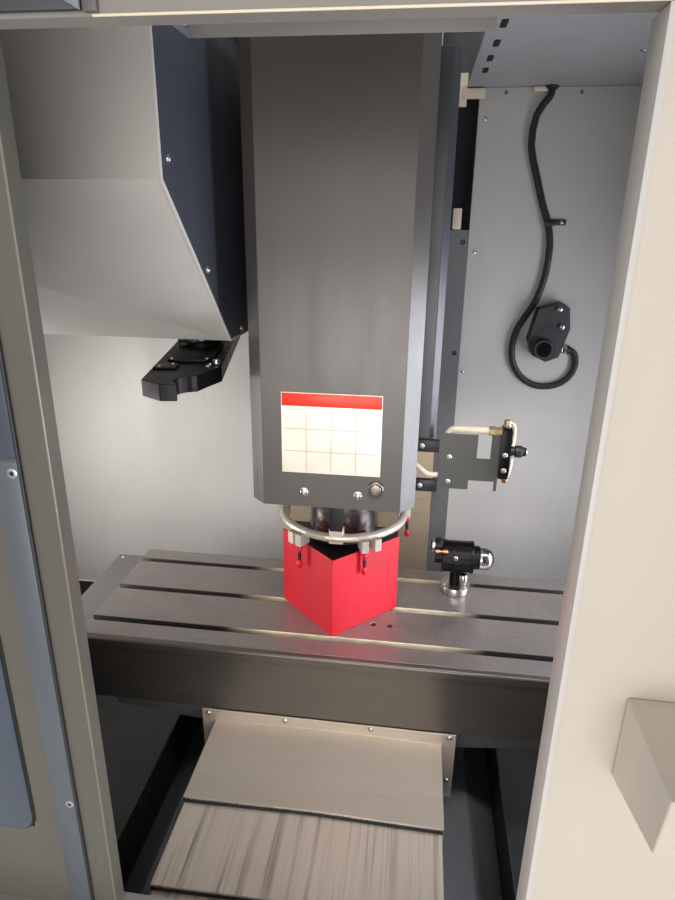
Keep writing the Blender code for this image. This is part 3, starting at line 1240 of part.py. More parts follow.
def make_front():
    """Front frame of apron, left panel and header, and the separate right panel."""
    half = OUTSIDE_HALF_WIDTH
    panel = (FRONT_PLANE, FRONT_PLANE + SKIN)
    outline = (
        (-half, SKIRT_BOTTOM), (half, SKIRT_BOTTOM), (half, SILL), (OPENING_LEFT, SILL),
        (OPENING_LEFT, HEADER_BOTTOM), (half, HEADER_BOTTOM), (half, ROOF_TOP), (-half, ROOF_TOP),
    )
    header = block((-INSIDE_HALF_WIDTH + GAP, INSIDE_HALF_WIDTH - GAP), (FRONT_PLANE + OVERLAP, HEADER_BACK),
                   (HEADER_BOTTOM, ROOF_UNDER - GAP))
    sill = block((-INSIDE_HALF_WIDTH + GAP, INSIDE_HALF_WIDTH - GAP), (FRONT_PLANE + OVERLAP, FRONT_PLANE + SILL_DEPTH),
                 (SILL - SKIN, SILL))
    flange = block((OPENING_LEFT - PLATE, OPENING_LEFT), (FRONT_PLANE + OVERLAP, FLANGE_BACK),
                   (SILL - OVERLAP, HEADER_BOTTOM + OVERLAP))
    groove = block((-INSIDE_HALF_WIDTH, INSIDE_HALF_WIDTH), (FLANGE_BACK, DOOR_FRONT + DOOR_THICKNESS + SHEET),
                   (HEADER_BOTTOM - REACH, HEADER_GROOVE_TOP))
    under_guide = block((-INSIDE_HALF_WIDTH, INSIDE_HALF_WIDTH), (FRONT_PLANE + HEADER_LIP, HEADER_BACK + REACH),
                        (HEADER_BOTTOM - REACH, HEADER_BOTTOM + HEADER_GUIDE_LIFT))
    part("front_frame", LIGHT_PAINT, prism(outline, "Y", panel[0], panel[1]), [header, sill, flange], [groove, under_guide])
    right_panel = (
        (OPENING_RIGHT, FRONT_PLANE), (half, FRONT_PLANE), (half, FRONT_PLANE + SKIN),
        (OPENING_RIGHT + PLATE, FRONT_PLANE + SKIN), (OPENING_RIGHT + PLATE, FLANGE_BACK), (OPENING_RIGHT, FLANGE_BACK),
    )
    size = PENDANT_ARM_SIZE
    hinge_y = FRONT_PLANE - PENDANT_BRACKET_DEPTH
    bracket_z = (PENDANT_ARM_Z - 2 * size, PENDANT_ARM_Z - size / 2 - GAP)
    part(
        "front_panel_right", CREAM_PAINT, prism(right_panel, "Z", SILL + GAP, HEADER_BOTTOM - GAP),
        [
            block((PENDANT_X - size / 2, PENDANT_X + size / 2), (hinge_y, FRONT_PLANE + OVERLAP), bracket_z),
            rod((PENDANT_X, hinge_y), "Z", size / 2 - GAP, bracket_z[0] + GAP, bracket_z[1], 20),
        ],
    )
    shelf_front = FRONT_PLANE - SHELF_DEPTH
    shelf = (
        (FRONT_PLANE - GAP, SHELF_BOTTOM), (shelf_front + SHELF_LEAN, SHELF_BOTTOM + SHELF_RISE),
        (shelf_front, SHELF_TOP), (FRONT_PLANE - GAP, SHELF_TOP),
    )
    part("side_shelf", CREAM_PAINT, prism(shelf, "X", SHELF_LEFT, SHELF_LEFT + SHELF_WIDTH))


def make_door(side_name, left):
    """One sliding door with two upright clamp strips, and the window pane behind its sheet."""
    right = left + DOOR_WIDTH
    back = DOOR_FRONT + DOOR_THICKNESS
    strip_z = (WINDOW_BOTTOM - CLAMP_REACH, WINDOW_TOP + CLAMP_REACH)
    strips = [
        block((edge, edge + CLAMP_WIDTH), (DOOR_FRONT - CLAMP_PROUD, DOOR_FRONT + OVERLAP), strip_z)
        for edge in (left + STILE, right - STILE - CLAMP_WIDTH)
    ]
    sheet_edge = STILE + CLAMP_WIDTH + WINDOW_MARGIN
    opening = block((left + sheet_edge, right - sheet_edge), (DOOR_FRONT - REACH, back + REACH),
                    (WINDOW_BOTTOM + WINDOW_APRON, WINDOW_TOP - WINDOW_HEADER))
    rebate = block((left + STILE, right - STILE), (DOOR_FRONT + PLATE, back + REACH), (WINDOW_BOTTOM, WINDOW_TOP))
    part(
        f"{side_name}_door", GREY_PAINT, block((left, right), (DOOR_FRONT, back), (SILL + GAP, DOOR_TOP)),
        strips, [opening, rebate],
    )
    pane_x = (left + STILE + GAP, right - STILE - GAP)
    pane_front = DOOR_FRONT + PLATE + GAP
    part(f"{side_name}_window", GLASS,
         block(pane_x, (pane_front, pane_front + WINDOW_GLASS), (WINDOW_BOTTOM + GAP, WINDOW_TOP - GAP)))


# Tool changer


def make_changer_housing():
    """Bent shroud, the dark plate that closes its right side, and the drive box."""
    top = ROOF_UNDER - GAP
    front, bend = SHROUD_FRONT, over_table(SHROUD_BEND)
    slope_end, bottom, lip = SHROUD_SLOPE_END, over_table(SHROUD_BOTTOM), SHROUD_LIP_END
    slope = math.atan2(bend - bottom, slope_end - front)
    bend_in = SHEET * math.tan((math.pi / 2 - slope) / 2)
    foot_in = SHEET * math.tan(slope / 2)
    outline = (
        (front, top), (front, bend), (slope_end, bottom), (lip, bottom), (lip, bottom + SHEET),
        (slope_end + foot_in, bottom + SHEET), (front + SHEET, bend + bend_in), (front + SHEET, top),
    )
    part("changer_shroud", LIGHT_PAINT, prism(outline, "X", -INSIDE_HALF_WIDTH + GAP, SHROUD_RIGHT))
    plate_back = WALL_PLANE - len(Z_COVER_BOTTOMS) * Z_COVER_PITCH - SHEET
    plate = ((front, top), (front, bend), (slope_end, bottom), (plate_back, bottom), (plate_back, top))
    plate_left = SHROUD_RIGHT + GAP
    part("changer_side_plate", DARK_PAINT, prism(plate, "X", plate_left, plate_left + PLATE))
    shaft_centre = (ARM_PIVOT_X, SPINDLE_Y)
    part(
        "changer_gearbox", CASTING,
        block((GEARBOX_LEFT, SHROUD_RIGHT), (lip + GAP, GEARBOX_BACK), (over_table(GEARBOX_BOTTOM), over_table(GEARBOX_TOP))),
        cut=[rod(shaft_centre, "Z", SHAFT_RADIUS + SHAFT_FIT, over_table(GEARBOX_BOTTOM) - REACH,
                 over_table(SHAFT_TOP) + GAP, 24)],
    )
    arm_top = over_table(ARM_BOTTOM) + ARM_THICKNESS
    part(
        "changer_shaft", STEEL,
        rod(shaft_centre, "Z", SHAFT_RADIUS, arm_top + GAP, over_table(SHAFT_TOP), 24),
        pivot=(ARM_PIVOT_X, SPINDLE_Y, arm_top), round_faces=True,
    )


def arm_half():
    """Return one half of the arm's outline, from its right edge round to its left."""
    half, jaw, tip, cut = ARM_HALF_WIDTH, ARM_JAW_REACH, ARM_FINGER_REACH, ARM_CHAMFER
    side, reach, radius = ARM_POCKET_SIDE, ARM_POCKET_REACH, ARM_POCKET_RADIUS
    start = math.asin((jaw - reach) / radius) if jaw > reach - radius else -math.pi / 2
    points = [(half, jaw - cut), (half - cut / 2, jaw)]
    end = math.radians(138)
    steps = 9
    for step in range(steps + 1):
        angle = start - (2 * math.pi - end + start) * step / steps
        points.append((side + radius * math.cos(angle), reach + radius * math.sin(angle)))
    points += [(side - radius * 0.75, tip), (cut - half, tip), (-half, tip - cut)]
    return points


def make_changer_arm():
    """Double-ended arm with an open pocket at each end."""
    front = [(u, -v) for u, v in arm_half()]
    rear = [(-u, v) for u, v in arm_half()]
    low = over_table(ARM_BOTTOM)
    shape = prism(front + rear, "Z", low, low + ARM_THICKNESS)
    turn = Matrix.Rotation(math.radians(ARM_REST_DEG), 4, "Z")
    moved(shape, (ARM_PIVOT_X, SPINDLE_Y, 0.0), turn)
    part("changer_arm", BLACK, shape, pivot=(ARM_PIVOT_X, SPINDLE_Y, low))


def make_carousel():
    """Tool magazine: a lobed disc with pockets, on an axle from the left wall."""
    points = []
    steps = CAROUSEL_POTS * 6
    centre = (CAROUSEL_Y, over_table(CAROUSEL_HEIGHT))
    for step in range(steps):
        angle = 2 * math.pi * step / steps
        lobe = POT_LOBE * 0.4 * math.cos(CAROUSEL_POTS * angle)
        radius = CAROUSEL_RADIUS + lobe
        points.append((centre[0] + radius * math.cos(angle), centre[1] + radius * math.sin(angle)))
    pot_circle = CAROUSEL_RADIUS - POT_LOBE + POT_LOBE * 0.4
    bores = []
    for number in range(CAROUSEL_POTS):
        angle = 2 * math.pi * number / CAROUSEL_POTS
        spot = (centre[0] + pot_circle * math.cos(angle), centre[1] + pot_circle * math.sin(angle))
        bores.append(rod(spot, "X", POT_BORE, CAROUSEL_X - CAROUSEL_THICKNESS, CAROUSEL_X + CAROUSEL_THICKNESS, 10))
    axle = rod(centre, "X", CAROUSEL_AXLE, -INSIDE_HALF_WIDTH + GAP, CAROUSEL_X, 16)
    part(
        "carousel", STEEL,
        prism(points, "X", CAROUSEL_X - CAROUSEL_THICKNESS / 2, CAROUSEL_X + CAROUSEL_THICKNESS / 2),
        [axle], [cluster(bores)], (CAROUSEL_X, centre[0], centre[1]),
    )


# Receiver and its cable


def smooth_route(points, steps):
    """Return points along a smooth curve through the given route points."""
    padded = [points[0]] + list(points) + [points[-1]]
    route = []
    for before, start, end, after in zip(padded, padded[1:], padded[2:], padded[3:]):
        for step in range(steps):
            t = step / steps
            route.append(tuple(
                0.5 * (2 * b + (c - a) * t + (2 * a - 5 * b + 4 * c - d) * t * t + (3 * b - a - 3 * c + d) * t ** 3)
                for a, b, c, d in zip(before, start, end, after)
            ))
    route.append(points[-1])
    return route


def make_receiver():
    """Receiver housing on the rear wall and the cable clipped to the wall above it."""
    back = WALL_PLANE - GAP
    front = back - RECEIVER_DEPTH
    outline = [(x, over_table(z)) for x, z in RECEIVER_OUTLINE]
    cable_y = WALL_PLANE - CABLE_WALL_GAP - CABLE_RADIUS
    window = (RECEIVER_WINDOW[0], over_table(RECEIVER_WINDOW[1]))
    part(
        "receiver", BLACK, prism(outline, "Y", front, back),
        [
            rod(window, "Y", RECEIVER_WINDOW_RADIUS, front - RECEIVER_WINDOW_PROUD, front + OVERLAP, 20),
            rod((cable_y, over_table(SOCKET_HEIGHT)), "X", SOCKET_RADIUS * 0.9, RECEIVER_WINDOW[0], SOCKET_END, 12),
        ],
    )
    curve = bpy.data.curves.new("receiver_cable", "CURVE")
    curve.dimensions = "3D"
    curve.bevel_depth = CABLE_RADIUS
    curve.bevel_resolution = 2
    curve.use_fill_caps = True
    route = smooth_route([(x, cable_y, over_table(z)) for x, z in CABLE_ROUTE], CABLE_STEPS)
    spline = curve.splines.new("POLY")
    spline.points.add(len(route) - 1)
    for point, place in zip(spline.points, route):
        point.co = (*place, 1.0)
    cable = bpy.data.objects.new("receiver_cable", curve)
    curve.materials.append(paint("receiver_cable", BLACK))
    bpy.context.collection.objects.link(cable)
    cable.parent = ROOT


# Cabinet and pendant


def make_cabinet():
    """Electrical cabinet on the back of the column, with its hinged door."""
    half, wall = CABINET_HALF_WIDTH, CABINET_WALL
    part(
        "electrical_cabinet", LIGHT_PAINT,
        block((-half, half), (CABINET_FRONT, CABINET_BACK), (CABINET_BOTTOM, CABINET_TOP)),
        cut=[block((-half + wall, half - wall), (CABINET_FRONT + wall, CABINET_BACK + REACH),
                   (CABINET_BOTTOM + wall, CABINET_TOP - wall))],
    )
    margin = CABINET_DOOR_MARGIN
    door_y = (CABINET_BACK + GAP, CABINET_BACK + GAP + CABINET_DOOR_THICKNESS)
    part(
        "cabinet_door", LIGHT_PAINT,
        block((-half + margin, half - margin), door_y, (CABINET_BOTTOM + margin, CABINET_TOP - margin)),
        pivot=(-half + margin, door_y[1], CABINET_BOTTOM),
    )


def make_pendant():
    """Operator pendant on a swinging arm, with its stop button and hand wheel."""
    size = PENDANT_ARM_SIZE
    hinge_y = FRONT_PLANE - PENDANT_BRACKET_DEPTH
    arm_z = (PENDANT_ARM_Z - size / 2, PENDANT_ARM_Z + size / 2)
    post_low = arm_z[0] - PENDANT_POST_LENGTH
    top = PENDANT_TOP
    part(
        "pendant_arm", GREY_PAINT,
        block((PENDANT_X - size / 2, PENDANT_X + size / 2), (PENDANT_SWIVEL_Y - PENDANT_ARM_END, hinge_y), arm_z),
        [
            rod((PENDANT_X, hinge_y), "Z", size / 2 - GAP, arm_z[0], arm_z[1], 20),
            rod((PENDANT_X, PENDANT_SWIVEL_Y), "Z", PENDANT_POST_RADIUS, post_low, arm_z[0] + OVERLAP, 16),
        ],
        pivot=(PENDANT_X, hinge_y, PENDANT_ARM_Z),
    )
    half, cut = PENDANT_HALF_WIDTH, PENDANT_CHAMFER
    outline = (
        (PENDANT_X - half, PENDANT_BACK), (PENDANT_X - half, PENDANT_FRONT + cut),
        (PENDANT_X - half + cut, PENDANT_FRONT), (PENDANT_X + half - cut, PENDANT_FRONT),
        (PENDANT_X + half, PENDANT_FRONT + cut), (PENDANT_X + half, PENDANT_BACK),
    )
    stop_spot = (PENDANT_X + STOP_X, STOP_Z)
    wheel_spot = (PENDANT_X + WHEEL_X, WHEEL_Z)
    sockets = cluster((
        rod(stop_spot, "Y", STOP_STEM_RADIUS + SOCKET_FIT, PENDANT_FRONT - REACH, PENDANT_FRONT + STOP_STEM + SHEET, 16),
        rod(wheel_spot, "Y", WHEEL_STEM_RADIUS + SOCKET_FIT, PENDANT_FRONT - REACH, PENDANT_FRONT + WHEEL_STEM + GAP, 16),
    ))
    part(
        "pendant", GREY_PAINT, prism(outline, "Z", PENDANT_BOTTOM, top), cut=[sockets],
        pivot=(PENDANT_X, PENDANT_SWIVEL_Y, top),
    )
    head_back = PENDANT_FRONT - STOP_STROKE
    part(
        "stop_button", RED_PAINT,
        rod(stop_spot, "Y", STOP_RADIUS, head_back - STOP_HEAD, head_back, 20),
        [rod(stop_spot, "Y", STOP_STEM_RADIUS, head_back - OVERLAP, PENDANT_FRONT + STOP_STEM - STOP_STROKE, 16)],
        pivot=(stop_spot[0], head_back, stop_spot[1]), round_faces=True,
    )
    wheel_back = PENDANT_FRONT - GAP
    part(
        "jog_wheel", BLACK,
        rod(wheel_spot, "Y", WHEEL_RADIUS, wheel_back - WHEEL_THICKNESS, wheel_back, 24),
        [rod(wheel_spot, "Y", WHEEL_STEM_RADIUS, wheel_back - OVERLAP, PENDANT_FRONT + WHEEL_STEM, 16)],
        pivot=(wheel_spot[0], wheel_back, wheel_spot[1]), round_faces=True,
    )


make_base()
make_chip_pan()
make_column()
make_saddle()
make_table()
make_table_skirt()
make_end_cover("table_end_left", -1, TABLE_LEFT)
make_end_cover("table_end_right", 1, TABLE_RIGHT)
make_tool_setter()
make_screws()
make_y_covers()
make_z_covers()
make_head_casting()
make_spindle()
make_head_cover()
make_coolant_ring()
make_head_support()
make_side_bracket()
make_walls()
make_front()
make_door("left", LEFT_DOOR_EDGE - DOOR_WIDTH)
make_door("right", RIGHT_DOOR_EDGE)
make_changer_housing()
make_changer_arm()
make_carousel()
make_receiver()
make_cabinet()
make_pendant()
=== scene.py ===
"""Looks of a vertical machining centre, seen by its operator through the open front doors.

X runs to the operator's right, Y into the machine and Z up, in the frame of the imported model.
Pieces are placed as a fitter measures them: in millimetres from the spindle line, from the
middle of the table and from the table top. A Datum turns such a place into the model's metres.
"""
import logging
import math
from dataclasses import dataclass, field
from enum import Enum
from typing import Sequence

import bmesh
import bpy
from mathutils import Matrix, Vector


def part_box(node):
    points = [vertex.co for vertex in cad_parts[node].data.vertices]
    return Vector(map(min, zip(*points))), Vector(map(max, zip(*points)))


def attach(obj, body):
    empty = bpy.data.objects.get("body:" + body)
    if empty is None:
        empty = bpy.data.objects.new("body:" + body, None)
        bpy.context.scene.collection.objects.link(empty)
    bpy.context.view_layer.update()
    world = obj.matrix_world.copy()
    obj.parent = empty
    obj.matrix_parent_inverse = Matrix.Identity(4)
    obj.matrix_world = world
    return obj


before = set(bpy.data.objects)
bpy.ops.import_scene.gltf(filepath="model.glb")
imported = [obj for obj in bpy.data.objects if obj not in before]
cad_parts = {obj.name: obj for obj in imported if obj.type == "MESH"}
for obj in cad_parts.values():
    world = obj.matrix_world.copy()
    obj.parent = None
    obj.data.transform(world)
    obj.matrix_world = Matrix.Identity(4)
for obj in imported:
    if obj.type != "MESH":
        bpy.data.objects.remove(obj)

LOG = logging.getLogger("machining_centre")
Point = tuple[float, float, float]
Flat = tuple[float, float]


class Axis(Enum):
    """A direction of the machine, with the numbers of its two cross directions."""

    X = (0, 1, 2)
    Y = (1, 0, 2)
    Z = (2, 0, 1)

    @property
    def unit(self) -> Vector:
        """Gives the unit vector along the axis."""
        return Vector([1.0 if i == self.value[0] else 0.0 for i in range(3)])

    def stretch(self, along: float, across: float) -> Point:
        """Gives a pattern scale that differs along the axis and across it.

        Args:
            along: scale along the axis.
            across: scale in the two cross directions.

        Returns:
            The three scales in X, Y, Z order.
        """
        scales = [across, across, across]
        scales[self.value[0]] = along
        return (scales[0], scales[1], scales[2])


def tint(red: float, green: float, blue: float, share: float = 1.0) -> tuple[float, float, float, float]:
    """Turns a screen colour into the linear colour that the shaders use.

    Args:
        red: screen red, 0 to 255.
        green: screen green, 0 to 255.
        blue: screen blue, 0 to 255.
        share: factor on the linear colour.

    Returns:
        Linear red, green, blue and an alpha of 1.
    """
    linear = []
    for value in (red / 255, green / 255, blue / 255):
        light = value / 12.92 if value <= 0.04045 else ((value + 0.055) / 1.055) ** 2.4
        linear.append(min(1.0, light * share))
    return (linear[0], linear[1], linear[2], 1.0)


class Graph:
    """The shader nodes of one material, laid and joined one after another."""

    def __init__(self, name: str) -> None:
        """Starts a material with one Principled shader.

        Args:
            name: the material's name.
        """
        self.material = bpy.data.materials.new(name)
        self.material.use_nodes = True
        self.tree = self.material.node_tree
        self.shader = next(n for n in self.tree.nodes if n.type == "BSDF_PRINCIPLED")

    def _feed(self, socket: bpy.types.NodeSocket, value: object) -> None:
        """Links a socket to another one, or sets its value.

        Args:
            socket: the socket to feed.
            value: another socket, or a plain value.
        """
        if isinstance(value, bpy.types.NodeSocket):
            self.tree.links.new(value, socket)
        else:
            socket.default_value = value

    def place(self, scale: Point = (1.0, 1.0, 1.0), turn: Point = (0.0, 0.0, 0.0)) -> bpy.types.NodeSocket:
        """Gives the piece's own coordinates in metres, scaled and turned.

        Args:
            scale: scale of the coordinates in X, Y, Z.
            turn: turn about X, Y, Z, in radians.

        Returns:
            The output that carries the result.
        """
        source = self.tree.nodes.new("ShaderNodeTexCoord")
        mapping = self.tree.nodes.new("ShaderNodeMapping")
        mapping.inputs["Scale"].default_value = scale
        mapping.inputs["Rotation"].default_value = turn
        self.tree.links.new(source.outputs["Object"], mapping.inputs["Vector"])
        return mapping.outputs["Vector"]

    def noise(self, vector: bpy.types.NodeSocket, scale: float, detail: float = 2.0, rough: float = 0.5,
            warp: float = 0.0) -> bpy.types.NodeSocket:
        """Gives a cloudy value between 0 and 1.

        Args:
            vector: the coordinates to read.
            scale: clouds to a metre.
            detail: how many finer layers it has.
            rough: weight of the finer layers.
            warp: how far the clouds are drawn out.

        Returns:
            The output that carries the result.
        """
        node = self.tree.nodes.new("ShaderNodeTexNoise")
        self.tree.links.new(vector, node.inputs["Vector"])
        node.inputs["Scale"].default_value = scale
        node.inputs["Detail"].default_value = detail
        node.inputs["Roughness"].default_value = rough
        node.inputs["Distortion"].default_value = warp
        return node.outputs["Fac"]

    def cells(self, vector: bpy.types.NodeSocket, scale: float) -> bpy.types.NodeSocket:
        """Gives the distance to the nearest of many scattered points.

        Args:
            vector: the coordinates to read.
            scale: points to a metre.

        Returns:
            The output that carries the result.
        """
        node = self.tree.nodes.new("ShaderNodeTexVoronoi")
        self.tree.links.new(vector, node.inputs["Vector"])
        node.inputs["Scale"].default_value = scale
        return node.outputs["Distance"]

    def parts(self, vector: bpy.types.NodeSocket) -> list[bpy.types.NodeSocket]:
        """Gives the three coordinates of a vector, one by one."""
        node = self.tree.nodes.new("ShaderNodeSeparateXYZ")
        self.tree.links.new(vector, node.inputs["Vector"])
        return list(node.outputs)

    def span(self, value: object, start: float, end: float, low: float = 0.0,
            high: float = 1.0) -> bpy.types.NodeSocket:
        """Stretches the values from start to end over low to high, and holds them there.

        Args:
            value: the value to stretch.
            start: value that gives low.
            end: value that gives high.
            low: result at start and before it.
            high: result at end and past it.

        Returns:
            The output that carries the result.
        """
        node = self.tree.nodes.new("ShaderNodeMapRange")
        self._feed(node.inputs["Value"], value)
        for name, number in (("From Min", start), ("From Max", end), ("To Min", low), ("To Max", high)):
            node.inputs[name].default_value = number
        return node.outputs["Result"]

    def sum(self, operation: str, first: object, second: object) -> bpy.types.NodeSocket:
        """Joins two values by a Math node's operation.

        Args:
            operation: name of the Math node's operation.
            first: first value.
            second: second value.

        Returns:
            The output that carries the result.
        """
        node = self.tree.nodes.new("ShaderNodeMath")
        node.operation = operation
        self._feed(node.inputs[0], first)
        self._feed(node.inputs[1], second)
        return node.outputs[0]

    def blend(self, share: object, first: object, second: object) -> bpy.types.NodeSocket:
        """Mixes two colours by a share between 0 and 1.

        Args:
            share: share of the second colour, 0 to 1.
            first: first colour.
            second: second colour.

        Returns:
            The output that carries the result.
        """
        node = self.tree.nodes.new("ShaderNodeMix")
        node.data_type = "RGBA"
        self._feed(node.inputs["Factor"], share)
        self._feed(node.inputs[6], first)
        self._feed(node.inputs[7], second)
        return node.outputs[2]

    def bump(self, height: bpy.types.NodeSocket, strength: float, depth: float) -> None:
        """Raises the surface by a value, and feeds the shader's normal; a second call adds to the first.

        Args:
            height: the value that raises the surface.
            strength: strength of the effect.
            depth: height of the relief, in metres.
        """
        node = self.tree.nodes.new("ShaderNodeBump")
        node.inputs["Strength"].default_value = strength
        node.inputs["Distance"].default_value = depth
        self.tree.links.new(height, node.inputs["Height"])
        before = self.shader.inputs["Normal"].links
        if before:
            self.tree.links.new(before[0].from_socket, node.inputs["Normal"])
        self.tree.links.new(node.outputs["Normal"], self.shader.inputs["Normal"])

    def finish(self, **sockets: object) -> bpy.types.Material:
        """Feeds the shader's sockets, named with underscores, and gives the material."""
        for name, value in sockets.items():
            self._feed(self.shader.inputs[name.replace("_", " ")], value)
        return self.material


@dataclass(frozen=True)
class Finish:
    """A surface finish. Each kind lays its own shader nodes, once for every different set of values."""

    name: str
    colour: Point

    def lay(self, graph: Graph) -> bpy.types.Material:
        """Lays the shader nodes of the finish."""
        return graph.finish(Base_Color=tint(*self.colour), Roughness=0.5)

    def material(self) -> bpy.types.Material:
        """Gives the finish as a material, which is made at its first use."""
        return bpy.data.materials.get(self.name) or self.lay(Graph(self.name))


@dataclass(frozen=True)
class PowderCoat(Finish):
    """Baked paint on sheet metal: a faint orange peel, cloudy tone and wiped smudges."""

    gloss: float = 0.42
    mottle: float = 0.05
    smudge: float = 0.10
    peel: float = 0.12

    def lay(self, graph: Graph) -> bpy.types.Material:
        """Lays cloudy tone, smudged gloss and an orange peel.

        Args:
            graph: the nodes of the new material.

        Returns:
            The finished material.
        """
        place = graph.place()
        cloud = graph.span(graph.noise(place, 2.6, 3.0, 0.55, 0.4), 0.32, 0.68)
        base = graph.blend(cloud, tint(*self.colour, 1.0 - self.mottle),
                tint(*self.colour, 1.0 + self.mottle))
        wipe = graph.noise(graph.place((5.0, 5.0, 1.6)), 2.0, 5.0, 0.62, 0.8)
        mark = graph.span(wipe, 0.52, 0.74, 0.0, self.smudge)
        base = graph.blend(mark, base, tint(*self.colour, 0.62))
        speck = graph.span(graph.cells(place, 95.0), 0.02, 0.07, 0.30, 0.0)
        base = graph.blend(speck, base, tint(*self.colour, 0.80))
        rough = graph.span(wipe, 0.30, 0.72, self.gloss - 0.05, self.gloss + 0.12)
        graph.bump(graph.noise(place, 620.0, 2.0, 0.5), self.peel, 0.0004)
        return graph.finish(Base_Color=base, Roughness=rough)


@dataclass(frozen=True)
class BrushedSteel(Finish):
    """Rolled or brushed sheet steel, with its grain along one axis and dried coolant in streaks."""

    grain: Axis = Axis.X
    gloss: float = 0.34
    contrast: float = 0.16
    streaks: float = 0.0
    metal: float = 1.0

    def lay(self, graph: Graph) -> bpy.types.Material:
        """Lays a stretched grain, wide darker bands that are random tone and also a painted reflection of the
        room, and streaks along the grain.

        Args:
            graph: the nodes of the new material.

        Returns:
            The finished material.
        """
        fine = graph.noise(graph.place(self.grain.stretch(5.0, 420.0)), 1.0, 5.0, 0.70)
        tone_and_reflection_bands = graph.noise(graph.place(self.grain.stretch(0.7, 6.0)), 1.0, 3.0, 0.55, 0.3)
        base = graph.blend(graph.span(fine, 0.30, 0.70), tint(*self.colour, 1.0 - self.contrast),
                tint(*self.colour, 1.0 + self.contrast))
        # Wide darker bands: random tone that also serves as a painted reflection of the dark room in the steel.
        base = graph.blend(graph.span(tone_and_reflection_bands, 0.35, 0.75, 0.0, 0.35), base, tint(*self.colour, 0.66))
        if self.streaks:
            run = graph.noise(graph.place(self.grain.stretch(1.1, 62.0)), 1.0, 4.0, 0.72, 0.1)
            patch = graph.noise(graph.place(self.grain.stretch(3.5, 7.0)), 1.0, 2.0, 0.5)
            lines = graph.sum("MULTIPLY", graph.span(run, 0.50, 0.66),
                    graph.span(patch, 0.34, 0.62, 0.15, 1.0))
            base = graph.blend(graph.sum("MULTIPLY", lines, self.streaks), base, tint(74, 68, 64))
        spots = graph.span(graph.cells(graph.place(), 46.0), 0.03, 0.10, 0.35, 0.0)
        base = graph.blend(spots, base, tint(*self.colour, 0.55))
        rough = graph.span(tone_and_reflection_bands, 0.30, 0.72, self.gloss - 0.05, self.gloss + 0.13)
        graph.bump(fine, 0.22, 0.0002)
        return graph.finish(Base_Color=base, Roughness=rough, Metallic=self.metal)


@dataclass(frozen=True)
class GroundIron(Finish):
    """A ground cast-iron face: crossed grinding lines, wiped oil and faint clamp marks."""

    gloss: float = 0.36

    def lay(self, graph: Graph) -> bpy.types.Material:
        """Lays crossed grinding lines, oil clouds and scratches.

        Args:
            graph: the nodes of the new material.

        Returns:
            The finished material.
        """
        along = graph.noise(graph.place((9.0, 520.0, 60.0)), 1.0, 4.0, 0.68)
        across = graph.noise(graph.place((380.0, 14.0, 60.0), (0.0, 0.0, 0.35)), 1.0, 3.0, 0.60)
        lines = graph.sum("ADD", graph.sum("MULTIPLY", along, 0.65), graph.sum("MULTIPLY", across, 0.35))
        oil = graph.noise(graph.place(), 7.5, 4.0, 0.60, 0.6)
        base = graph.blend(graph.span(lines, 0.32, 0.66), tint(*self.colour, 0.78),
                tint(*self.colour, 1.18))
        base = graph.blend(graph.span(oil, 0.46, 0.72, 0.0, 0.42), base, tint(*self.colour, 0.60))
        scratch = graph.noise(graph.place((60.0, 900.0, 60.0), (0.0, 0.0, 0.9)), 1.0, 1.0, 0.5)
        base = graph.blend(graph.span(scratch, 0.74, 0.80, 0.0, 0.35), base, tint(*self.colour, 1.7))
        rough = graph.span(oil, 0.30, 0.70, self.gloss + 0.10, self.gloss - 0.04)
        graph.bump(lines, 0.25, 0.0002)
        return graph.finish(Base_Color=base, Roughness=rough, Metallic=0.7)


@dataclass(frozen=True)
class SlotShadeAndGlint(Finish):
    """A slot wall painted dark as the slot's shade, with a painted reflection of a lamp bright along the middle of
    the table.
    """

    # Colour of the painted lamp reflection along the middle.
    worn: Point = (250, 236, 204)
    middle: float = 0.04
    reach: float = 0.17

    def lay(self, graph: Graph) -> bpy.types.Material:
        """Lays dark iron as painted shade that turns into a bright painted lamp reflection towards the middle.

        Args:
            graph: the nodes of the new material.

        Returns:
            The finished material.
        """
        # Painted reflection: bright in streaks near the table's middle, as if a lamp shone in; elsewhere the dark
        # colour is painted shade.
        along, _, _ = graph.parts(graph.place())
        away = graph.sum("ABSOLUTE", graph.sum("SUBTRACT", along, self.middle), 0.0)
        rub = graph.noise(graph.place((26.0, 4.0, 90.0)), 1.0, 3.0, 0.6)
        share = graph.sum("MULTIPLY", graph.span(away, self.reach, self.reach + 0.10, 1.0, 0.0),
                graph.span(rub, 0.3, 0.6, 0.65, 1.0))
        return graph.finish(Base_Color=graph.blend(share, tint(*self.colour), tint(*self.worn)),
                Roughness=0.36)


@dataclass(frozen=True)
class TurnedMetal(Finish):
    """Turned, drawn or plated metal with fine tool marks."""

    gloss: float = 0.22
    axis: Axis = Axis.Z
    mark: float = 0.14

    def lay(self, graph: Graph) -> bpy.types.Material:
        """Lays fine rings across the turning axis and light stains.

        Args:
            graph: the nodes of the new material.

        Returns:
            The finished material.
        """
        rings = graph.noise(graph.place(self.axis.stretch(1400.0, 10.0)), 1.0, 3.0, 0.6)
        stain = graph.noise(graph.place(), 38.0, 3.0, 0.6)
        base = graph.blend(graph.span(rings, 0.3, 0.7), tint(*self.colour, 1.0 - self.mark),
                tint(*self.colour, 1.0 + self.mark))
        base = graph.blend(graph.span(stain, 0.5, 0.78, 0.0, 0.35), base, tint(*self.colour, 0.6))
        rough = graph.span(stain, 0.3, 0.7, self.gloss - 0.04, self.gloss + 0.10)
        graph.bump(rings, 0.12, 0.0001)
        return graph.finish(Base_Color=base, Roughness=rough, Metallic=1.0)


